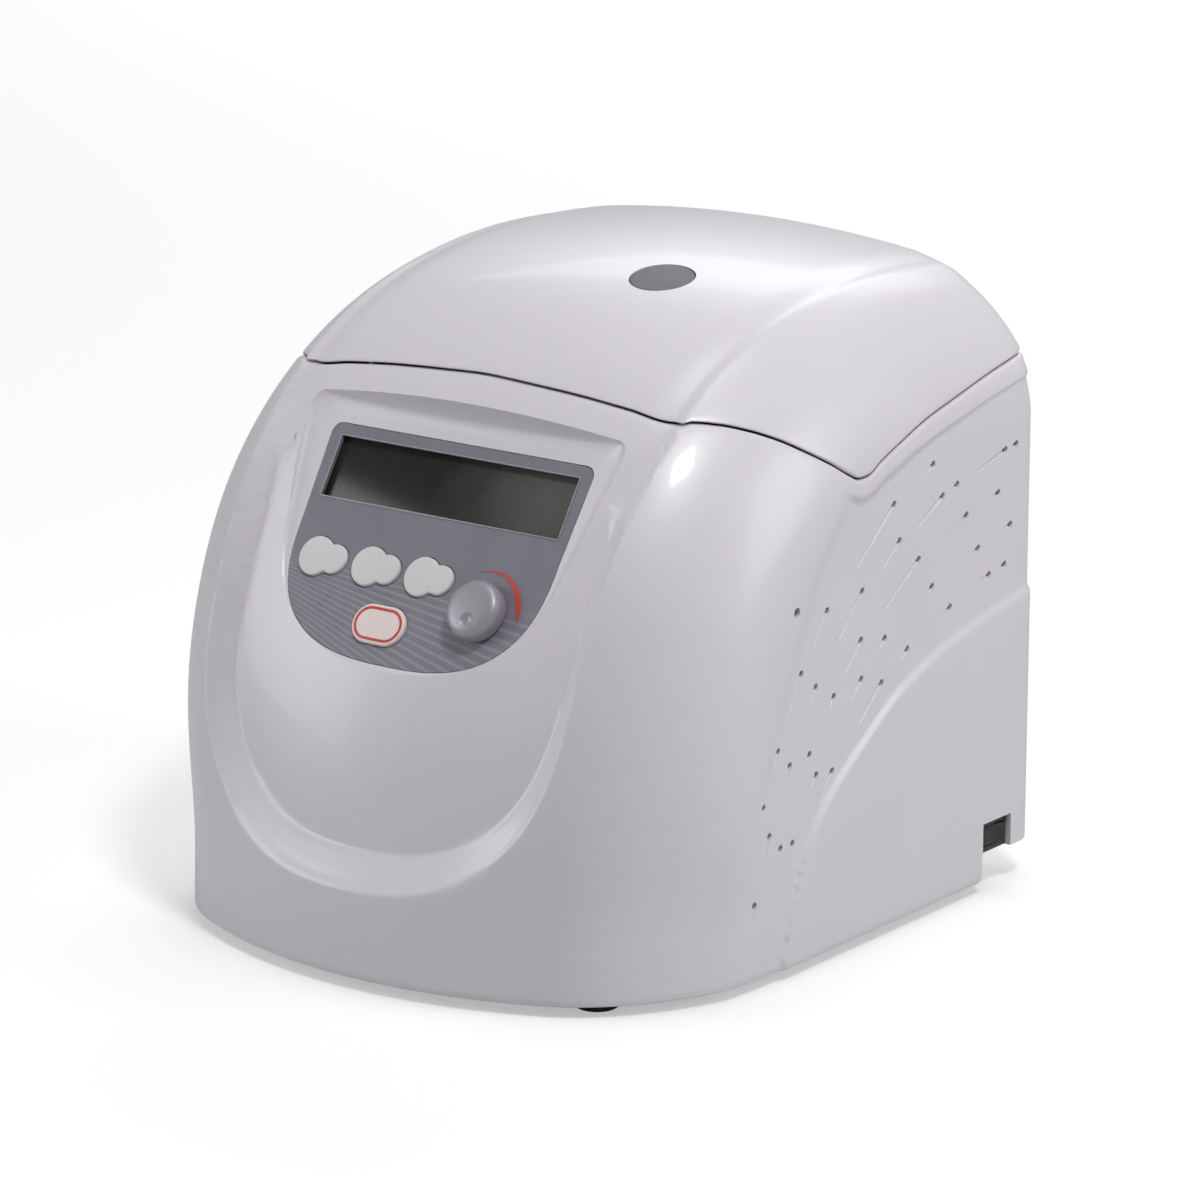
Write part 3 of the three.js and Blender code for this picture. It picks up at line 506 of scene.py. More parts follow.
def metal(name, light, dark, roughness, stretch=(1, 1, 1), grain=900.0, depth=0.01):
    """Worked metal: scratches drawn out one way, in its relief, colour and gloss."""
    made, nodes, links, shader, place = new_finish(name, light, roughness, 1.0)
    drawn = noise(nodes, links, place, grain, 3.0, stretch)
    tint = blend_colour(nodes, links, span(nodes, links, drawn, 0.3, 0.7), light, dark)
    links.new(tint, shader.inputs["Base Color"])
    spread_out = span(nodes, links, drawn, 0.3, 0.7, roughness - 0.07, roughness + 0.08)
    links.new(spread_out, shader.inputs["Roughness"])
    links.new(bump(nodes, links, drawn, depth), shader.inputs["Normal"])
    return made


def spangled(name, light, dark, roughness):
    """Zinc plate: flakes of slightly different greys."""
    made, nodes, links, shader, place = new_finish(name, light, roughness, 1.0)
    flakes = nodes.new("ShaderNodeTexVoronoi")
    flakes.inputs["Scale"].default_value = 160.0
    links.new(place, flakes.inputs["Vector"])
    grey = nodes.new("ShaderNodeSeparateColor")
    links.new(flakes.outputs["Color"], grey.inputs["Color"])
    shade = grey.outputs["Red"]
    links.new(blend_colour(nodes, links, shade, light, dark), shader.inputs["Base Color"])
    links.new(span(nodes, links, shade, 0, 1, roughness - 0.06, roughness + 0.08), shader.inputs["Roughness"])
    links.new(bump(nodes, links, noise(nodes, links, place, 500.0), 0.01), shader.inputs["Normal"])
    return made


def turned_metal(name, light, dark, roughness):
    """Turned aluminium: fine rings about the rotor's axis."""
    made, nodes, links, shader, place = new_finish(name, light, roughness, 1.0)
    mapping = nodes.new("ShaderNodeMapping")
    mapping.inputs["Location"].default_value = (0, -(ROTOR_Y * MM + SHIFT_Y), 0)
    links.new(place, mapping.inputs["Vector"])
    rings = nodes.new("ShaderNodeTexWave")
    rings.wave_type = "RINGS"
    rings.rings_direction = "Z"
    rings.inputs["Scale"].default_value = 420.0
    rings.inputs["Distortion"].default_value = 1.2
    links.new(mapping.outputs["Vector"], rings.inputs["Vector"])
    links.new(blend_colour(nodes, links, rings.outputs["Fac"], light, dark), shader.inputs["Base Color"])
    links.new(
        span(nodes, links, rings.outputs["Fac"], 0, 1, roughness - 0.05, roughness + 0.06),
        shader.inputs["Roughness"],
    )
    links.new(bump(nodes, links, rings.outputs["Fac"], 0.008), shader.inputs["Normal"])
    return made


def panel_plastic(name):
    """Grey printed panel: plain round the display, with pale streaks fanning across its lower part."""
    grey, dark, pale = (0.195, 0.187, 0.225), (0.18, 0.172, 0.207), (0.4, 0.385, 0.43)
    made, nodes, links, shader, place = new_finish(name, grey, 0.42)
    mapping = nodes.new("ShaderNodeMapping")
    mapping.vector_type = "TEXTURE"
    origin = PANEL.to_translation()
    mapping.inputs["Location"].default_value = origin
    mapping.inputs["Rotation"].default_value = (PANEL_TILT, 0, 0)
    links.new(place, mapping.inputs["Vector"])
    on_face = mapping.outputs["Vector"]
    split = nodes.new("ShaderNodeSeparateXYZ")
    links.new(on_face, split.inputs["Vector"])
    across, up = split.outputs["X"], split.outputs["Y"]
    # the streaks fan out from a point to the left of the panel, a little above the keys
    fall, reach, fan = (nodes.new("ShaderNodeMath") for _ in range(3))
    fall.operation, reach.operation, fan.operation = "ADD", "ADD", "DIVIDE"
    links.new(up, fall.inputs[0])
    fall.inputs[1].default_value = 0.022
    links.new(across, reach.inputs[0])
    reach.inputs[1].default_value = 0.14
    links.new(fall.outputs[0], fan.inputs[0])
    links.new(reach.outputs[0], fan.inputs[1])
    line = nodes.new("ShaderNodeCombineXYZ")
    links.new(fan.outputs[0], line.inputs["X"])
    waves = nodes.new("ShaderNodeTexWave")
    waves.inputs["Scale"].default_value = 13.7
    waves.inputs["Distortion"].default_value = 2.4
    waves.inputs["Detail"].default_value = 3.0
    waves.inputs["Detail Scale"].default_value = 0.6
    links.new(line.outputs["Vector"], waves.inputs["Vector"])
    streaks = span(nodes, links, waves.outputs["Fac"], 0.55, 1.0)
    low = span(nodes, links, fan.outputs[0], -0.045, -0.075)
    both = nodes.new("ShaderNodeMath")
    both.operation = "MULTIPLY"
    links.new(streaks, both.inputs[0])
    links.new(low, both.inputs[1])
    clouds = span(nodes, links, noise(nodes, links, place, 60.0), 0.35, 0.65)
    ground = blend_colour(nodes, links, clouds, grey, dark)
    part = span(nodes, links, both.outputs[0], 0, 1, 0, 0.36)
    links.new(blend_colour(nodes, links, part, ground, pale), shader.inputs["Base Color"])
    fine = noise(nodes, links, place, 2500.0, 2.0)
    links.new(span(nodes, links, fine, 0.3, 0.7, 0.38, 0.48), shader.inputs["Roughness"])
    links.new(bump(nodes, links, fine, 0.012), shader.inputs["Normal"])
    return made


def display_glass(name):
    """Unlit character display behind its window: dark olive, with a painted sheen that makes it paler towards
    its right end, broken up by soft clouds.
    """
    # dark is the glass's own colour; pale is painted sheen, standing in for light falling on the glass
    dark, pale = (0.018, 0.02, 0.017), (0.09, 0.094, 0.087)
    made, nodes, links, shader, place = new_finish(name, dark, 0.26)
    shader.inputs["Specular IOR Level"].default_value = 0.3
    split = nodes.new("ShaderNodeSeparateXYZ")
    links.new(place, split.inputs["Vector"])
    soft = noise(nodes, links, place, 45.0, 2.0)
    # painted sheen: the mix runs from dark to pale towards the right end of the glass
    shade = nodes.new("ShaderNodeMath")
    shade.operation = "MULTIPLY_ADD"
    links.new(soft, shade.inputs[0])
    shade.inputs[1].default_value = 0.03
    links.new(split.outputs["X"], shade.inputs[2])
    amount = span(nodes, links, shade.outputs[0], 0.012, 0.062)
    links.new(blend_colour(nodes, links, amount, dark, pale), shader.inputs["Base Color"])
    fine = noise(nodes, links, place, 700.0)
    links.new(span(nodes, links, fine, 0.3, 0.7, 0.22, 0.3), shader.inputs["Roughness"])
    return made


def circuit(name):
    """Printed board: green solder mask over straight copper tracks."""
    green, track = (0.015, 0.11, 0.045), (0.03, 0.2, 0.08)
    made, nodes, links, shader, place = new_finish(name, green, 0.4, 0.0, 0.3)
    tracks = nodes.new("ShaderNodeTexBrick")
    tracks.inputs["Scale"].default_value = 90.0
    tracks.inputs["Mortar Size"].default_value = 0.05
    tracks.inputs["Color1"].default_value = (*green, 1)
    tracks.inputs["Color2"].default_value = (*green, 1)
    tracks.inputs["Mortar"].default_value = (*track, 1)
    links.new(place, tracks.inputs["Vector"])
    links.new(tracks.outputs["Color"], shader.inputs["Base Color"])
    links.new(bump(nodes, links, tracks.outputs["Fac"], 0.03), shader.inputs["Normal"])
    return made


FINISHES = {
    "shell_plastic": moulded(
        "satin_shell", (0.66, 0.635, 0.68), (0.645, 0.62, 0.665), 0.34, 2200.0, 0.012, 0.08
    ),
    "liner_plastic": moulded("liner_grey", (0.56, 0.555, 0.6), (0.53, 0.525, 0.57), 0.5, 1500.0, 0.03),
    "panel_plastic": panel_plastic("printed_panel"),
    "key_silicone": moulded("key_white", (0.66, 0.66, 0.665), (0.6, 0.6, 0.61), 0.55, 900.0, 0.02),
    "start_silicone": moulded("start_pale", (0.8, 0.7, 0.68), (0.75, 0.655, 0.64), 0.5, 900.0, 0.02),
    "knob_satin": moulded(
        "knob_lilac", (0.36, 0.34, 0.385), (0.33, 0.31, 0.355), 0.4, 2600.0, 0.01, 0.0, 0.25
    ),
    "display_glass": display_glass("display_painted_sheen"),
    "port_glass": moulded("smoked_port", (0.125, 0.12, 0.135), (0.085, 0.082, 0.095), 0.5, 420.0, 0.02),
    "black_plastic": moulded("black_moulded", (0.014, 0.014, 0.016), (0.01, 0.01, 0.012), 0.42, 1600.0, 0.03),
    "rubber": moulded("dark_rubber", (0.03, 0.03, 0.031), (0.022, 0.022, 0.023), 0.8, 1100.0, 0.06),
    "steel": metal("bright_steel", (0.6, 0.61, 0.62), (0.5, 0.51, 0.52), 0.3, (1, 1, 0.06)),
    "zinc_plate": spangled("zinc_plated", (0.52, 0.54, 0.56), (0.4, 0.42, 0.44), 0.42),
    "aluminium": turned_metal("turned_aluminium", (0.66, 0.67, 0.69), (0.56, 0.57, 0.59), 0.32),
    "motor_paint": metal("motor_grey", (0.3, 0.31, 0.33), (0.24, 0.25, 0.27), 0.48, (0.2, 0.2, 1)),
    "board": circuit("circuit_board"),
}
RED = moulded("signal_red", (0.58, 0.065, 0.055), (0.5, 0.055, 0.05), 0.45, 900.0, 0.01)
SILVER = moulded("silver_trim", (0.32, 0.31, 0.34), (0.29, 0.28, 0.31), 0.32, 1200.0, 0.01)


# ---------- casing ----------
def wall_ring(heights, inset):
    """A ring round the body at a height for each angle."""
    return wall_points(ANGLES, heights, inset)


def side_step_outline():
    """What is cut away under the rear of the casing, seen from the side, with the corners left rounded."""
    points = [(-1 + STEP_Y - 4, -2), (STEP_Y - 4, EDGE_Z)]
    points += [
        (STEP_Y - 4 + 4 * math.sin(t), EDGE_Z + 4 - 4 * math.cos(t)) for t in np.radians([22, 45, 68, 90])
    ]
    points.append((STEP_Y, STEP_Z))
    corner = 9
    points += [
        (REAR_Y - corner + corner * math.sin(t), STEP_Z + corner - corner * math.cos(t))
        for t in np.radians([0, 18, 36, 54, 72, 88])
    ]
    points += [(REAR_Y + 12, STEP_Z + corner), (REAR_Y + 12, -2)]
    return points


def panel_outline(grow, step=3):
    right = []
    for turn in np.radians(np.arange(0, 91, step)):
        across, down = math.sin(turn) ** (2 / PANEL_POWER), math.cos(turn) ** (2 / PANEL_POWER)
        right.append(((PANEL_HALF + grow) * across, PANEL_BEND - (PANEL_DROP + grow) * down))
    for share in (0.25, 0.5, 0.75):
        side = PANEL_HALF + (PANEL_TOP_HALF - PANEL_HALF) * share + grow
        right.append((side, PANEL_BEND + (PANEL_TOP + grow - 5 - PANEL_BEND) * share))
    corner = 5
    centre = (PANEL_TOP_HALF + grow - corner, PANEL_TOP + grow - corner)
    for turn in np.radians(np.arange(0, 91, 15)):
        right.append((centre[0] + corner * math.cos(turn), centre[1] + corner * math.sin(turn)))
    for share in (0.8, 0.6, 0.4, 0.2, 0.0):
        right.append((centre[0] * share, PANEL_TOP + grow))
    left = [(-x, y) for x, y in right[1:-1][::-1]]
    return right + left


def pocket_row(grow, height):
    """The pocket's walls open outwards: a little at the sides and bottom, and in a scoop at the top."""
    rise = max(height, 0.0)
    turned = 1 - min(rise / SCOOP_DEEP, 1)
    scoop = SCOOP_LONG * math.sqrt(1 - turned * turned) + 0.6 * max(rise - SCOOP_DEEP, 0)
    row = []
    for x, y in panel_outline(grow):
        up = min(max((y - PANEL_BEND + PANEL_DROP) / (PANEL_TOP - PANEL_BEND + PANEL_DROP), 0), 1)
        side = (0.25 * rise + 1.1 * scoop * up**1.4) * math.copysign(min(abs(x) / 40, 1), x)
        lift = scoop * up**6 - 1.9 * rise * (1 - up) ** 4
        row.append((x + side, y + lift, height - grow / 2))
    return row


POCKET_HEIGHTS = (0, 0.12, 0.35, 0.7, 1.2, 1.9, 2.8, 4.2, 8, 13, 26)


def pocket(grow, low):
    rows = [pocket_row(grow, low)] + [pocket_row(grow, h) for h in POCKET_HEIGHTS]
    return loft("tool", rows, PANEL)


def volume(inset, low, high, step=8.0):
    """The body's own volume, sunk by inset: what lies inside it is trimmed to this."""
    heights = np.append(np.arange(low, high, step), high)
    return loft("tool", [wall_points(COARSE, z, inset) for z in heights])


def key_outline(x, y, grow):
    big, small = (x - 3.5, 8.8 + grow), (x + 6, 6.6 + grow)
    meet = 9.5
    from_big = math.acos((big[1] ** 2 + meet**2 - small[1] ** 2) / (2 * big[1] * meet))
    from_small = math.acos((small[1] ** 2 + meet**2 - big[1] ** 2) / (2 * small[1] * meet))
    points = [
        (big[0] + big[1] * math.cos(t), y + big[1] * math.sin(t))
        for t in np.linspace(from_big, 2 * math.pi - from_big, 30)
    ]
    points += [
        (small[0] + small[1] * math.cos(t), y + small[1] * math.sin(t))
        for t in np.linspace(from_small - math.pi, math.pi - from_small, 24)[1:-1]
    ]
    return points


def start_outline(grow, half=5.0, radius=8.6):
    x, y = START_AT
    points = []
    for side, turn in ((1, -90), (-1, 90)):
        for t in np.radians(turn + np.arange(0, 181, 12)):
            out = radius + grow
            points.append((x + side * half + out * math.cos(t), y + out * math.sin(t)))
    return points


def side_wall(y, z):
    """How far out the right-hand wall is at a place on it."""
    seam = seam_height(math.degrees(math.atan2(HALF_WIDTH, AXIS_Y - y)))
    start, across = np.array([0.0, y, z]), np.array([1.0, 0.0, 0.0])
    return float(cast(start, across, 0.0, seam)[0])


# each vent: where its hole is, front to back and height, and how long a groove trails down from it;
# the places were worked out by a camera fit from points on the photo
VENTS = [
    (71.5, 200.3, 6), (127, 196, 22), (135.5, 197, 4), (90, 188, 5), (79, 185, 21), (122, 178, 5),
    (42.6, 188.6, 34), (97.5, 173, 5), (132, 162, 5), (47, 172, 16), (107, 156.5, 5), (61.6, 161, 30),
    (128, 145, 4), (116, 143, 5), (20, 156, 25), (72, 147, 5), (86, 135, 5), (-5.5, 153, 15), (19.4, 135, 17),
    (37, 132, 6), (54, 123.5, 6), (-23.5, 130, 22), (-13, 122, 8), (0, 115, 5), (20, 118, 10), (35, 113, 21),
    (-39.5, 100.6, 6), (-17, 94, 11), (-31, 92.5, 17), (-12, 84, 6), (-0.6, 83, 16), (-49.6, 79, 5),
    (-45, 65.6, 13), (-37, 58.4, 6), (-28.6, 58.5, 18), (-54.4, 38, 5),
]
RELEASE_HOLE = (-29.5, 157.5)


def vent_tools(side):
    holes, grooves = [], []
    for y, z, length in VENTS:
        x = side_wall(y, z)
        holes.append(rod((side * (x + 2), y, z), (side * (x - 7), y, z), 1.5, sides=14))
        fall = math.radians(52 - 0.3 * y)
        end_y, end_z = y - length * math.cos(fall), z - length * math.sin(fall)
        end_x = side_wall(end_y, end_z)
        start = (side * (x + 0.35), y, z)
        grooves.append(rod(start, (side * (end_x + 0.5), end_y, end_z), 1.35, 0.85, sides=10))
    y, z = RELEASE_HOLE
    x = side_wall(y, z)
    holes.append(rod((side * (x + 3), y, z), (side * (x - 7), y, z), 2.1, sides=20))
    return [together(grooves), together(holes)]


def make_casing():
    top = seam_height(np.abs(ANGLES)) - SEAM_GAP / 2
    rim, foot = 1.3, 1.0
    outer = [
        wall_ring(EDGE_Z + foot * (1 - math.cos(t)), foot * (1 - math.sin(t))) for t in np.radians([0, 45])
    ]
    shares = spread([(0, 0.13, 0.011), (0.13, 0.3, 0.0045), (0.3, 1, 0.007)])
    low, high = EDGE_Z + foot, top - rim
    outer += [wall_ring(low + (high - low) * share, 0.0) for share in shares]
    outer += [
        wall_ring(top - rim * (1 - math.sin(t)), rim * (1 - math.cos(t))) for t in np.radians([30, 60, 90])
    ]
    inner = [wall_ring(EDGE_Z + (top - EDGE_Z) * share, WALL) for share in np.linspace(1, 0, 15)]
    shell = ring_shell("casing_moulding", outer + inner)

    skin, inside = volume(1.5, 20, 232), volume(WALL + 3, 20, 232)
    deck = loft("tool", [wall_points(COARSE, z, WALL / 2) for z in (DECK_LOW, DECK_TOP)])
    hood = boolean(
        block((-HOOD_HALF, -120, DECK_LOW), (HOOD_HALF, HOOD_BACK, HOOD_TOP)),
        "INTERSECT", volume(1.5, 20, 232),
    )
    room = boolean(
        block((WALL - HOOD_HALF, -160, 100), (HOOD_HALF - WALL, HOOD_BACK - WALL, HOOD_TOP - WALL)),
        "INTERSECT", inside,
    )
    pocket_walls = boolean(pocket(WALL, -6), "INTERSECT", skin)
    join(shell, deck, hood)
    cut(shell, room)
    join(shell, pocket_walls)

    cut(shell, pocket(0, -2))
    for x in KEY_X.values():
        stem = rod((x, KEY_ROW, -12), (x, KEY_ROW, 0), 3.4, place=PANEL)
        cut(shell, plate("tool", key_outline(x, KEY_ROW, 0.4), -3.6, 0), stem)
    stem = rod((*START_AT, -12), (*START_AT, 0), 3.4, place=PANEL)
    cut(shell, plate("tool", start_outline(0.4), -3.6, 0), stem)
    cut(shell, rod((*KNOB_AT, -12), (*KNOB_AT, 0), 5, place=PANEL))
    edge = 1.3
    wide, high = DISPLAY_HALF + edge, DISPLAY_HIGH + edge
    cut(shell, block((-wide, -edge, -12), (wide, high, 1), PANEL))
    cut(shell, rod((0, ROTOR_Y, 150), (0, ROTOR_Y, 200), DECK_HOLE, sides=128))
    for x in (-LATCH_X, LATCH_X):
        cut(shell, block((x - 4.1, HOOD_BACK - 6, LATCH_Z - 3.1), (x + 4.1, HOOD_BACK + 1, LATCH_Z + 3.1)))
    across = Matrix.Rotation(math.pi / 2, 4, "Z") @ Matrix.Rotation(math.pi / 2, 4, "X")
    cut(shell, plate("tool", side_step_outline(), -200, 200, BODY @ across))
    cut(shell, block((-REAR_HALF, REAR_Y - 10, REAR_LOW), (REAR_HALF, REAR_Y + 10, REAR_HIGH)))
    wide, high = SWITCH_WIDE / 2 + 0.4, SWITCH_HIGH / 2 + 0.4
    cut(shell, block((120, SWITCH_Y - wide, 0), (160, SWITCH_Y + wide, SWITCH_Z + high)))
    for side in (-1, 1):
        cut(shell, *vent_tools(side))
    return piece(soften(shell, 40), "base", "shell_plastic", "casing")


# ---------- lid ----------
LID_EYE = np.array([0.0, AXIS_Y, 150.0])


def make_lid():
    seam = seam_height(np.abs(ANGLES))
    edge = seam + SEAM_GAP / 2
    rim = 1.3
    turn = np.radians(ANGLES)

    def dome_ring(low, share, inset):
        """A ring part of the way from the lid's edge to its crown, cast from a point under the crown."""
        from_eye = wall_points(ANGLES, low, inset) - LID_EYE
        lean = np.arctan2(np.hypot(from_eye[:, 0], from_eye[:, 1]), from_eye[:, 2]) * (1 - share)
        direction = np.stack([np.sin(turn) * np.sin(lean), -np.cos(turn) * np.sin(lean), np.cos(lean)], -1)
        return cast(np.broadcast_to(LID_EYE, direction.shape), direction, inset, seam)

    outer = [
        wall_ring(edge + rim * (1 - math.cos(t)), rim * (1 - math.sin(t))) for t in np.radians([0, 30, 60])
    ]
    shares = np.concatenate([np.linspace(0, 0.96, 80), [0.975, 0.99]])
    outer += [dome_ring(edge + rim, share, 0.0) for share in shares]
    inner = [dome_ring(edge, share, WALL) for share in np.concatenate([np.linspace(0, 0.9, 12), [0.98]])]
    rows = outer[::-1] + inner
    count = len(ANGLES)
    points = np.concatenate([*rows, crown(0.0)[None], crown(WALL)[None]])
    faces = grid_faces(len(rows), count, False)
    last = (len(rows) - 1) * count
    tip = len(rows) * count
    faces += [(c, (c + 1) % count, tip) for c in range(count)]
    faces += [(last + c, last + (c + 1) % count, tip + 1) for c in range(count)]
    lid = in_edit(mesh_object("lid_moulding", points, faces))
    cut(lid, rod((0, 0, -12), (0, 0, 12), PORT_RADIUS + 0.3, sides=96, place=PORT))
    return piece(soften(lid, 40), "lid", "shell_plastic", "lid_shell")


def crown(inset):
    """The top of the lid, straight over the body's axis."""
    return cast(LID_EYE, np.array([0.0, 0.0, 1.0]), inset, 300.0)


def port_frame():
    """Where the viewing port lies in the lid, facing the way that the lid does there."""
    x, y = PORT_AT
    up = np.array([0.0, 0.0, 1.0])
    spots = {}
    for key, (dx, dy) in {"middle": (0, 0), "right": (2, 0), "back": (0, 2)}.items():
        spots[key] = Vector(cast(np.array([x + dx, y + dy, 200.0]), up, 0.0, 300.0))
    normal = (spots["right"] - spots["middle"]).cross(spots["back"] - spots["middle"]).normalized()
    return at(*spots["middle"]) @ normal.to_track_quat("Z", "Y").to_matrix().to_4x4()


PORT = port_frame()


def make_port():
    edge = PORT_RADIUS
    profile = [(0, -3), (edge, -3), (edge, -0.9), (edge - 0.5, -0.45), (edge - 1.6, -0.4), (0, -0.15)]
    pane = spun("viewing_port_pane", profile, PORT, 96)
    return piece(soften(pane), "lid", "port_glass", "viewing_port")


def make_liner():
    """Tray that closes the lid from below, with a round cup that comes down inside the bowl's gasket."""
    bottom, radius, plate_low, wall = 197.0, 93.0, 243.0, 2.5
    trim = volume(WALL + 4, plate_low - 2, plate_low + wall + 2, 2.0)
    tray = block((-150, -90, plate_low), (150, 160, plate_low + wall), name="lid_tray")
    boolean(tray, "INTERSECT", trim)
    cup = spun("tool", [(0, bottom), (radius - 2, bottom), (radius - 0.6, bottom + 0.6), (radius, bottom + 2),
                        (radius, plate_low + 1), (0, plate_low + 1)])
    join(tray, cup)
    hollow = radius - wall
    cut(tray, spun("tool", [(0, bottom + wall), (hollow, bottom + wall), (hollow, 290), (0, 290)]))
    cut(tray, rod((*PORT_AT, bottom - 1), (*PORT_AT, bottom + 10), PORT_RADIUS + 0.3, sides=64))
    for ring in (80, 74):
        low, top = bottom - 1, bottom + 0.7
        groove = [(ring, low), (ring + 1.6, low), (ring + 1.2, top), (ring + 0.4, top)]
        cut(tray, spun("tool", groove))
    return piece(soften(tray), "lid", "liner_plastic", "lid_liner")


def make_sight_glass():
    low, edge = 197.0, PORT_RADIUS
    profile = [(0, low), (edge - 0.4, low), (edge, low + 0.4), (edge, low + 2.5), (0, low + 2.5)]
    pane = spun("sight_pane", profile, at(*PORT_AT), 64)
    return piece(soften(pane), "lid", "port_glass", "sight_glass")


# ---------- control panel ----------
def make_panel():
    face = plate("panel_fascia", panel_outline(-0.3), -1.7, 0)
    cut(face, block((-DISPLAY_HALF, 0, -5), (DISPLAY_HALF, DISPLAY_HIGH, 5), PANEL))
    cut(face, rod((*KNOB_AT, -5), (*KNOB_AT, 5), 5, sides=48, place=PANEL))
    cut(face, plate("tool", start_outline(0.4), -5, 5))
    for x in KEY_X.values():
        cut(face, plate("tool", key_outline(x, KEY_ROW, 0.4), -5, 5))
    rounded(face, 0.25, 2)
    return piece(soften(face, 20), "base", "panel_plastic", "control_panel")


def framed(name, outline, inner, low, high):
    ring = plate(name, outline, low, high)
    return cut(ring, plate("tool", inner, low - 1, high + 1))


def corner_rectangle(low, high, radius, steps=6):
    points = []
    centres = [(high[0] - radius, high[1] - radius), (low[0] + radius, high[1] - radius),
               (low[0] + radius, low[1] + radius), (high[0] - radius, low[1] + radius)]
    for quarter, (x, y) in enumerate(centres):
        for t in np.linspace(quarter * math.pi / 2, (quarter + 1) * math.pi / 2, steps):
            points.append((x + radius * math.cos(t), y + radius * math.sin(t)))
    return points


def make_display():
    wide, high = DISPLAY_HALF, DISPLAY_HIGH
    trim = framed(
        "display_trim", corner_rectangle((-wide - 0.45, -0.45), (wide + 0.45, high + 0.45), 0.5),
        corner_rectangle((-wide + 0.1, 0.1), (wide - 0.1, high - 0.1), 0.3), 0.02, 0.28,
    )
    rounded(trim, 0.1, 2)
    piece(soften(trim), "base", "panel_plastic").data.materials[0] = SILVER
    pane = plate("display_pane", corner_rectangle((-wide - 1, -1), (wide + 1, high + 1), 0.6), -4.3, -2.3)
    rounded(pane, 0.2, 2)
    piece(soften(pane), "base", "display_glass", "display_window")


def make_key(name, outline, spot, slot):
    cap = rounded(plate(name + "_cap", outline, -2.4, 1.4), 0.9, 4, 60)
    join(cap, rod((*spot, -12.5), (*spot, -2), 2.9, sides=32, place=PANEL))
    return piece(soften(cap, 40), name, slot, name)


def make_keys():
    for name, x in KEY_X.items():
        make_key(name, key_outline(x, KEY_ROW, 0), (x, KEY_ROW), "key_silicone")
    make_key("key_start", start_outline(0), START_AT, "start_silicone")
    ring = framed("start_ring", start_outline(-1.3), start_outline(-2.5), 1.3, 1.55)
    rounded(ring, 0.08, 2)
    piece(soften(ring), "key_start", "start_silicone").data.materials[0] = RED


def make_knob():
    edge = KNOB_RADIUS
    profile = [
        (0, 9.5), (4, 9.46), (7.4, 9.25), (9.2, 8.95), (10.5, 8.5), (11.5, 7.8), (12.2, 6.8), (12.5, 5.8),
        (edge, 4.8), (edge, 1.1), (edge - 0.15, 0.75), (edge - 0.5, 0.6),
        (4, 0.6), (3.2, 1.4), (3.2, 6.4), (0, 6.4),
    ]
    knob = spun("knob_cap", profile, at(*KNOB_AT, base=PANEL), 128)
    cut(knob, ball((KNOB_AT[0] + 1.2, KNOB_AT[1] - 6.1, 13.06), 5.0, PANEL))
    piece(soften(knob, 40), "knob", "knob_satin", "speed_knob")
    outside, inside = [], []
    middle = (KNOB_AT[0] + 0.5, KNOB_AT[1] + 0.6)
    for share in np.linspace(0, 1, 41):
        turn = math.radians(-5 + 120 * share)
        wide = 2.5 * min(1, 6 * share, 1.5 * (1 - share)) + 0.05
        for points, far in ((outside, 18.5), (inside, 18.5 - wide)):
            points.append((middle[0] + far * math.cos(turn), middle[1] + far * math.sin(turn)))
    mark = plate("speed_arc", outside + inside[::-1], 0.02, 0.2)
    piece(soften(mark), "base", "panel_plastic").data.materials[0] = RED


# ---------- switch ----------
def make_switch():
    wide, high, face, wall = SWITCH_WIDE / 2, SWITCH_HIGH / 2, 140.8, 1.6
    frame_piece = block(
        (face - 2, SWITCH_Y - wide, SWITCH_Z - high), (face, SWITCH_Y + wide, SWITCH_Z + high),
        name="switch_bezel",
    )
    inset = 1.4
    join(frame_piece, block(
        (face - 14, SWITCH_Y - wide + inset, SWITCH_Z - high + inset),
        (face - 1, SWITCH_Y + wide - inset, SWITCH_Z + high - inset),
    ))
    rounded(frame_piece, 0.5, 3)
    cut(frame_piece, block(
        (face - 10, SWITCH_Y - wide + 1 + wall, SWITCH_Z - high + 0.8 + wall),
        (face + 1, SWITCH_Y + wide - 1 - wall, SWITCH_Z + high - 0.8 - wall),
    ))
    piece(soften(frame_piece), "base", "black_plastic", "switch_frame")
    upper = [(-5.5, 2.5), (-1, 7), (0.6, 7.25), (1.1, 7.1), (0.45, 3.6), (0.15, 1.2)]
    side = upper + [(x, -y) for x, y in upper[::-1]]
    half = high - 2.7
    place = at(face, SWITCH_Y, SWITCH_Z) @ Matrix.Rotation(math.radians(-8), 4, "Z")
    rocker = rounded(plate("switch_button", side, -half, half, place), 0.35, 3, 50)
    piece(soften(rocker), "switch_rocker", "black_plastic", "switch_rocker")


# ---------- bowl, rotor and feet ----------
def make_bowl():
    inner, outer, bottom, flange, rim = 86.0, 87.5, 112.0, 94.0, 192.0
    seat = DECK_TOP + 0.3
    profile = [
        (15, bottom), (outer - 6, bottom), (outer - 1.8, bottom + 1.8), (outer, bottom + 6), (outer, seat),
        (flange, seat), (flange, rim - 0.5), (flange - 0.5, rim), (inner + 1.2, rim), (inner, rim - 1.2),
        (inner, bottom + 8), (inner - 1.8, bottom + 3.8), (inner - 6, bottom + 2), (15, bottom + 2),
    ]
    piece(soften(spun("bowl_liner", profile, sides=160)), "base", "steel", "rotor_bowl")
    lip = [
        (86.5, 192.3), (93.5, 192.3), (93.2, 193.2), (92.2, 195.6), (91.2, 196.5), (90, 196.7), (88.8, 196.5),
        (87.6, 195.6), (86.8, 194.2),
    ]
    piece(soften(spun("bowl_lip_seal", lip, sides=160), 50), "base", "rubber", "bowl_gasket")


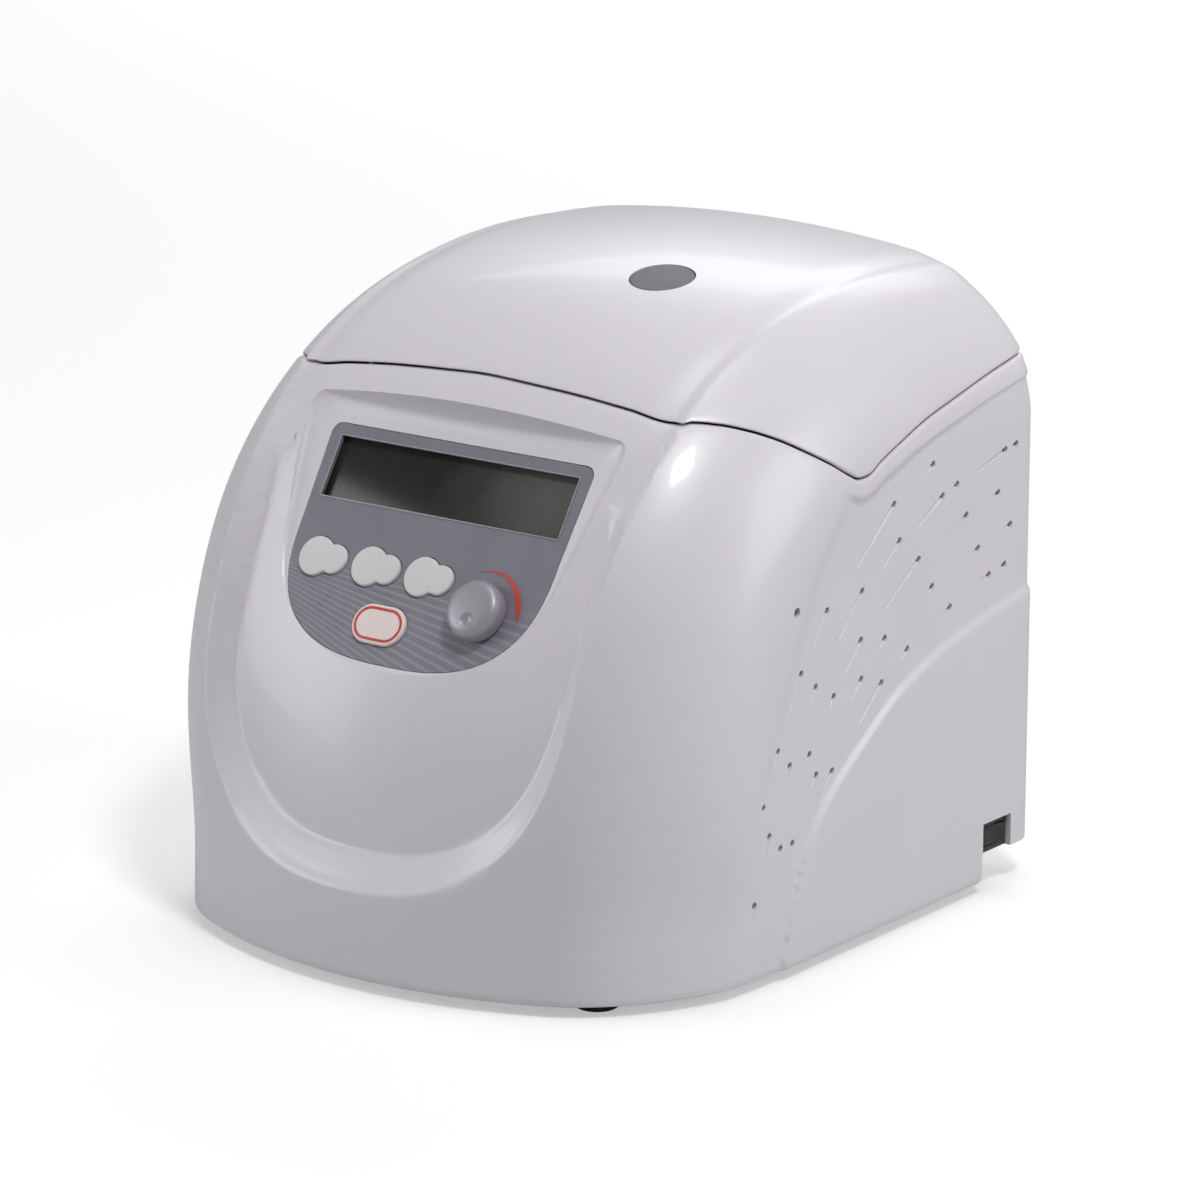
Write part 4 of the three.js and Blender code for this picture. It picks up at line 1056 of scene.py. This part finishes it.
def make_rotor():
    profile = [
        (6.3, 138), (24, 138), (28, 150), (60, 137), (74, 137), (81.2, 143.2), (82, 144.4), (82, 163.4),
        (81.6, 165), (74.4, 183.2), (73.4, 184.8), (71, 186), (66.6, 186), (65.4, 185.5),
        (38.6, 159.4), (36.6, 158.3), (34, 158),
        (3.4, 158), (3.4, 155.4), (5.4, 155.4), (6.3, 150.2),
    ]
    rotor = spun("angle_rotor", profile, sides=144)
    for i in range(24):
        turn = Matrix.Rotation(2 * math.pi * i / 24, 4, "Z")
        place = at(52, 0, 173, ROTOR @ turn) @ Matrix.Rotation(math.radians(-45), 4, "Y")
        cut(rotor, rod((0, 0, -32), (0, 0, 14), 5.5, sides=28, place=place))
        cut(rotor, rod((0, 0, -1.2), (0, 0, 1.4), 4.6, 7.2, sides=28, place=place))
    piece(soften(rotor), "rotor", "aluminium", "rotor")

    knob = [
        (0, 175), (3.4, 175), (3.4, 158.4), (13.6, 158.4), (14, 158.8), (14, 162.6), (8.4, 165.6),
        (8, 166.4), (8, 175.6),
        (8.6, 176.4), (13.6, 178.8), (14.4, 180), (15, 189.2), (14.4, 190.8), (12, 192), (0, 192),
    ]
    grip = spun("rotor_clamp", knob, sides=96)
    for i in range(6):
        turn = 2 * math.pi * i / 6
        x, y = 16.5 * math.cos(turn), ROTOR_Y + 16.5 * math.sin(turn)
        cut(grip, rod((x, y, 177), (x, y, 194), 3, sides=24))
    piece(soften(grip), "rotor_knob", "black_plastic", "rotor_knob")


def make_feet():
    for end, y in (("front", -105), ("rear", 88)):
        for side, x in (("left", -98), ("right", 98)):
            profile = [(0, 0.6), (5, 0.6), (5.6, 0), (8.6, 0), (9.3, 0.5), (11, 5.0), (10.8, 5.7), (0, 5.7)]
            foot = spun(f"{end}_{side}_foot", profile, at(x, y), 48)
            piece(soften(foot), "base", "rubber", f"foot_{end}_{side}")


def make_rear_screws():
    for level, z in (("lower", REAR_LOW + 6), ("upper", REAR_HIGH - 6)):
        for side, x in (("left", 6 - REAR_HALF), ("right", REAR_HALF - 6)):
            place = at(x, REAR_Y, z) @ Matrix.Rotation(-math.pi / 2, 4, "X")
            profile = [(0, -6), (1.5, -6), (1.5, 0.3), (3, 0.3), (3, 0.9), (2.7, 1.5), (2.0, 1.9), (0, 2)]
            screw = spun(f"panel_screw_{level}_{side}", profile, place, 40)
            cut(screw, block((-1.8, -0.35, 1.1), (1.8, 0.35, 3), place))
            cut(screw, block((-0.35, -1.8, 1.1), (0.35, 1.8, 3), place))
            piece(soften(screw), "base", "steel", f"rear_screw_{level}_{side}")


# ---------- CAD nodes that stay ----------
def finish_cad_nodes():
    shown = {row["node"]: row["material_slot"] for row in frame["record"]["subparts"]}
    for name, obj in frame["nodes"].items():
        obj.data.materials.clear()
        obj.data.materials.append(FINISHES[shown[name]])
        if obj.hide_render:
            continue
        obj.modifiers.new("weld", "WELD").merge_threshold = 0.005 * MM
        edge = obj.modifiers.new("edge", "BEVEL")
        edge.width, edge.segments, edge.limit_method = 0.25 * MM, 2, "ANGLE"
        edge.angle_limit = math.radians(40)


# ---------- floor, lights and camera ----------
def softbox(name, place, aim, size, power, tint=(1, 1, 1)):
    data = bpy.data.lights.new(name, "AREA")
    data.shape, data.size, data.size_y = "RECTANGLE", *size
    data.energy, data.color = power, tint
    light = bpy.data.objects.new(name, data)
    bpy.context.scene.collection.objects.link(light)
    light.location = place
    light.rotation_euler = (Vector(aim) - Vector(place)).to_track_quat("-Z", "Y").to_euler()


def make_stage():
    bpy.ops.object.select_all(action="DESELECT")
    bpy.ops.mesh.primitive_plane_add(size=12, location=(0, 0, 0))
    floor = bpy.context.object
    floor.name = "bench_top"
    paper = bpy.data.materials.new("pale_paper")
    paper.use_nodes = True
    sheet, links = paper.node_tree.nodes["Principled BSDF"], paper.node_tree.links
    sheet.inputs["Base Color"].default_value = (0.6, 0.6, 0.6, 1)
    sheet.inputs["Roughness"].default_value = 0.9
    # the paper looks white without throwing as much light back up
    seen = paper.node_tree.nodes.new("ShaderNodeLightPath")
    glow = paper.node_tree.nodes.new("ShaderNodeMath")
    glow.operation = "MULTIPLY"
    glow.inputs[1].default_value = 0.42
    links.new(seen.outputs["Is Camera Ray"], glow.inputs[0])
    links.new(glow.outputs[0], sheet.inputs["Emission Strength"])
    sheet.inputs["Emission Color"].default_value = (1, 1, 1, 1)
    floor.data.materials.append(paper)

    world = bpy.data.worlds.new("studio")
    world.use_nodes = True
    world.node_tree.nodes["Background"].inputs["Color"].default_value = (1, 1, 1, 1)
    world.node_tree.nodes["Background"].inputs["Strength"].default_value = 0.2
    bpy.context.scene.world = world
    bpy.context.scene.view_settings.view_transform = "Standard"
    softbox("left_front", (-2.1, -1.6, 0.8), (0, 0, 0.12), (1.2, 1.3), 21)
    softbox("right_rear", (2.3, 0.9, 1.0), (0, 0.05, 0.12), (1.0, 1.3), 19)
    softbox("overhead", (0.97, -0.52, 2.0), (0, 0, 0.2), (0.35, 0.35), 21)
    softbox("ceiling", (0, 0.3, 2.5), (0, 0, 0.2), (1.0, 1.0), 11)
    softbox("backdrop", (-1.4, 3.0, 2.4), (-1.4, 3.2, 0), (3.0, 1.6), 70)


def make_camera():
    turn, rise, away = math.radians(37.4), math.radians(15.1), 2234.5
    right = Vector((math.cos(turn), math.sin(turn), 0))
    back = Vector((math.sin(turn) * math.cos(rise), -math.cos(turn) * math.cos(rise), math.sin(rise)))
    up = back.cross(right)
    target = Vector((0, 0, 120)) + right * 15.3 + up * 12.7
    data = bpy.data.cameras.new("bench_camera")
    data.lens, data.sensor_width, data.clip_end = 156, 36, 20
    camera = bpy.data.objects.new("bench_camera", data)
    bpy.context.scene.collection.objects.link(camera)
    camera.matrix_world = BODY @ Matrix.Translation((target + back * away) * MM) @ Matrix(
        (right, up, back)
    ).transposed().to_4x4()
    bpy.context.scene.camera = camera


make_camera()
make_casing()
make_lid()
make_port()
make_liner()
make_sight_glass()
make_panel()
make_display()
make_keys()
make_knob()
make_switch()
make_bowl()
make_rotor()
make_feet()
make_rear_screws()
finish_cad_nodes()
make_stage()
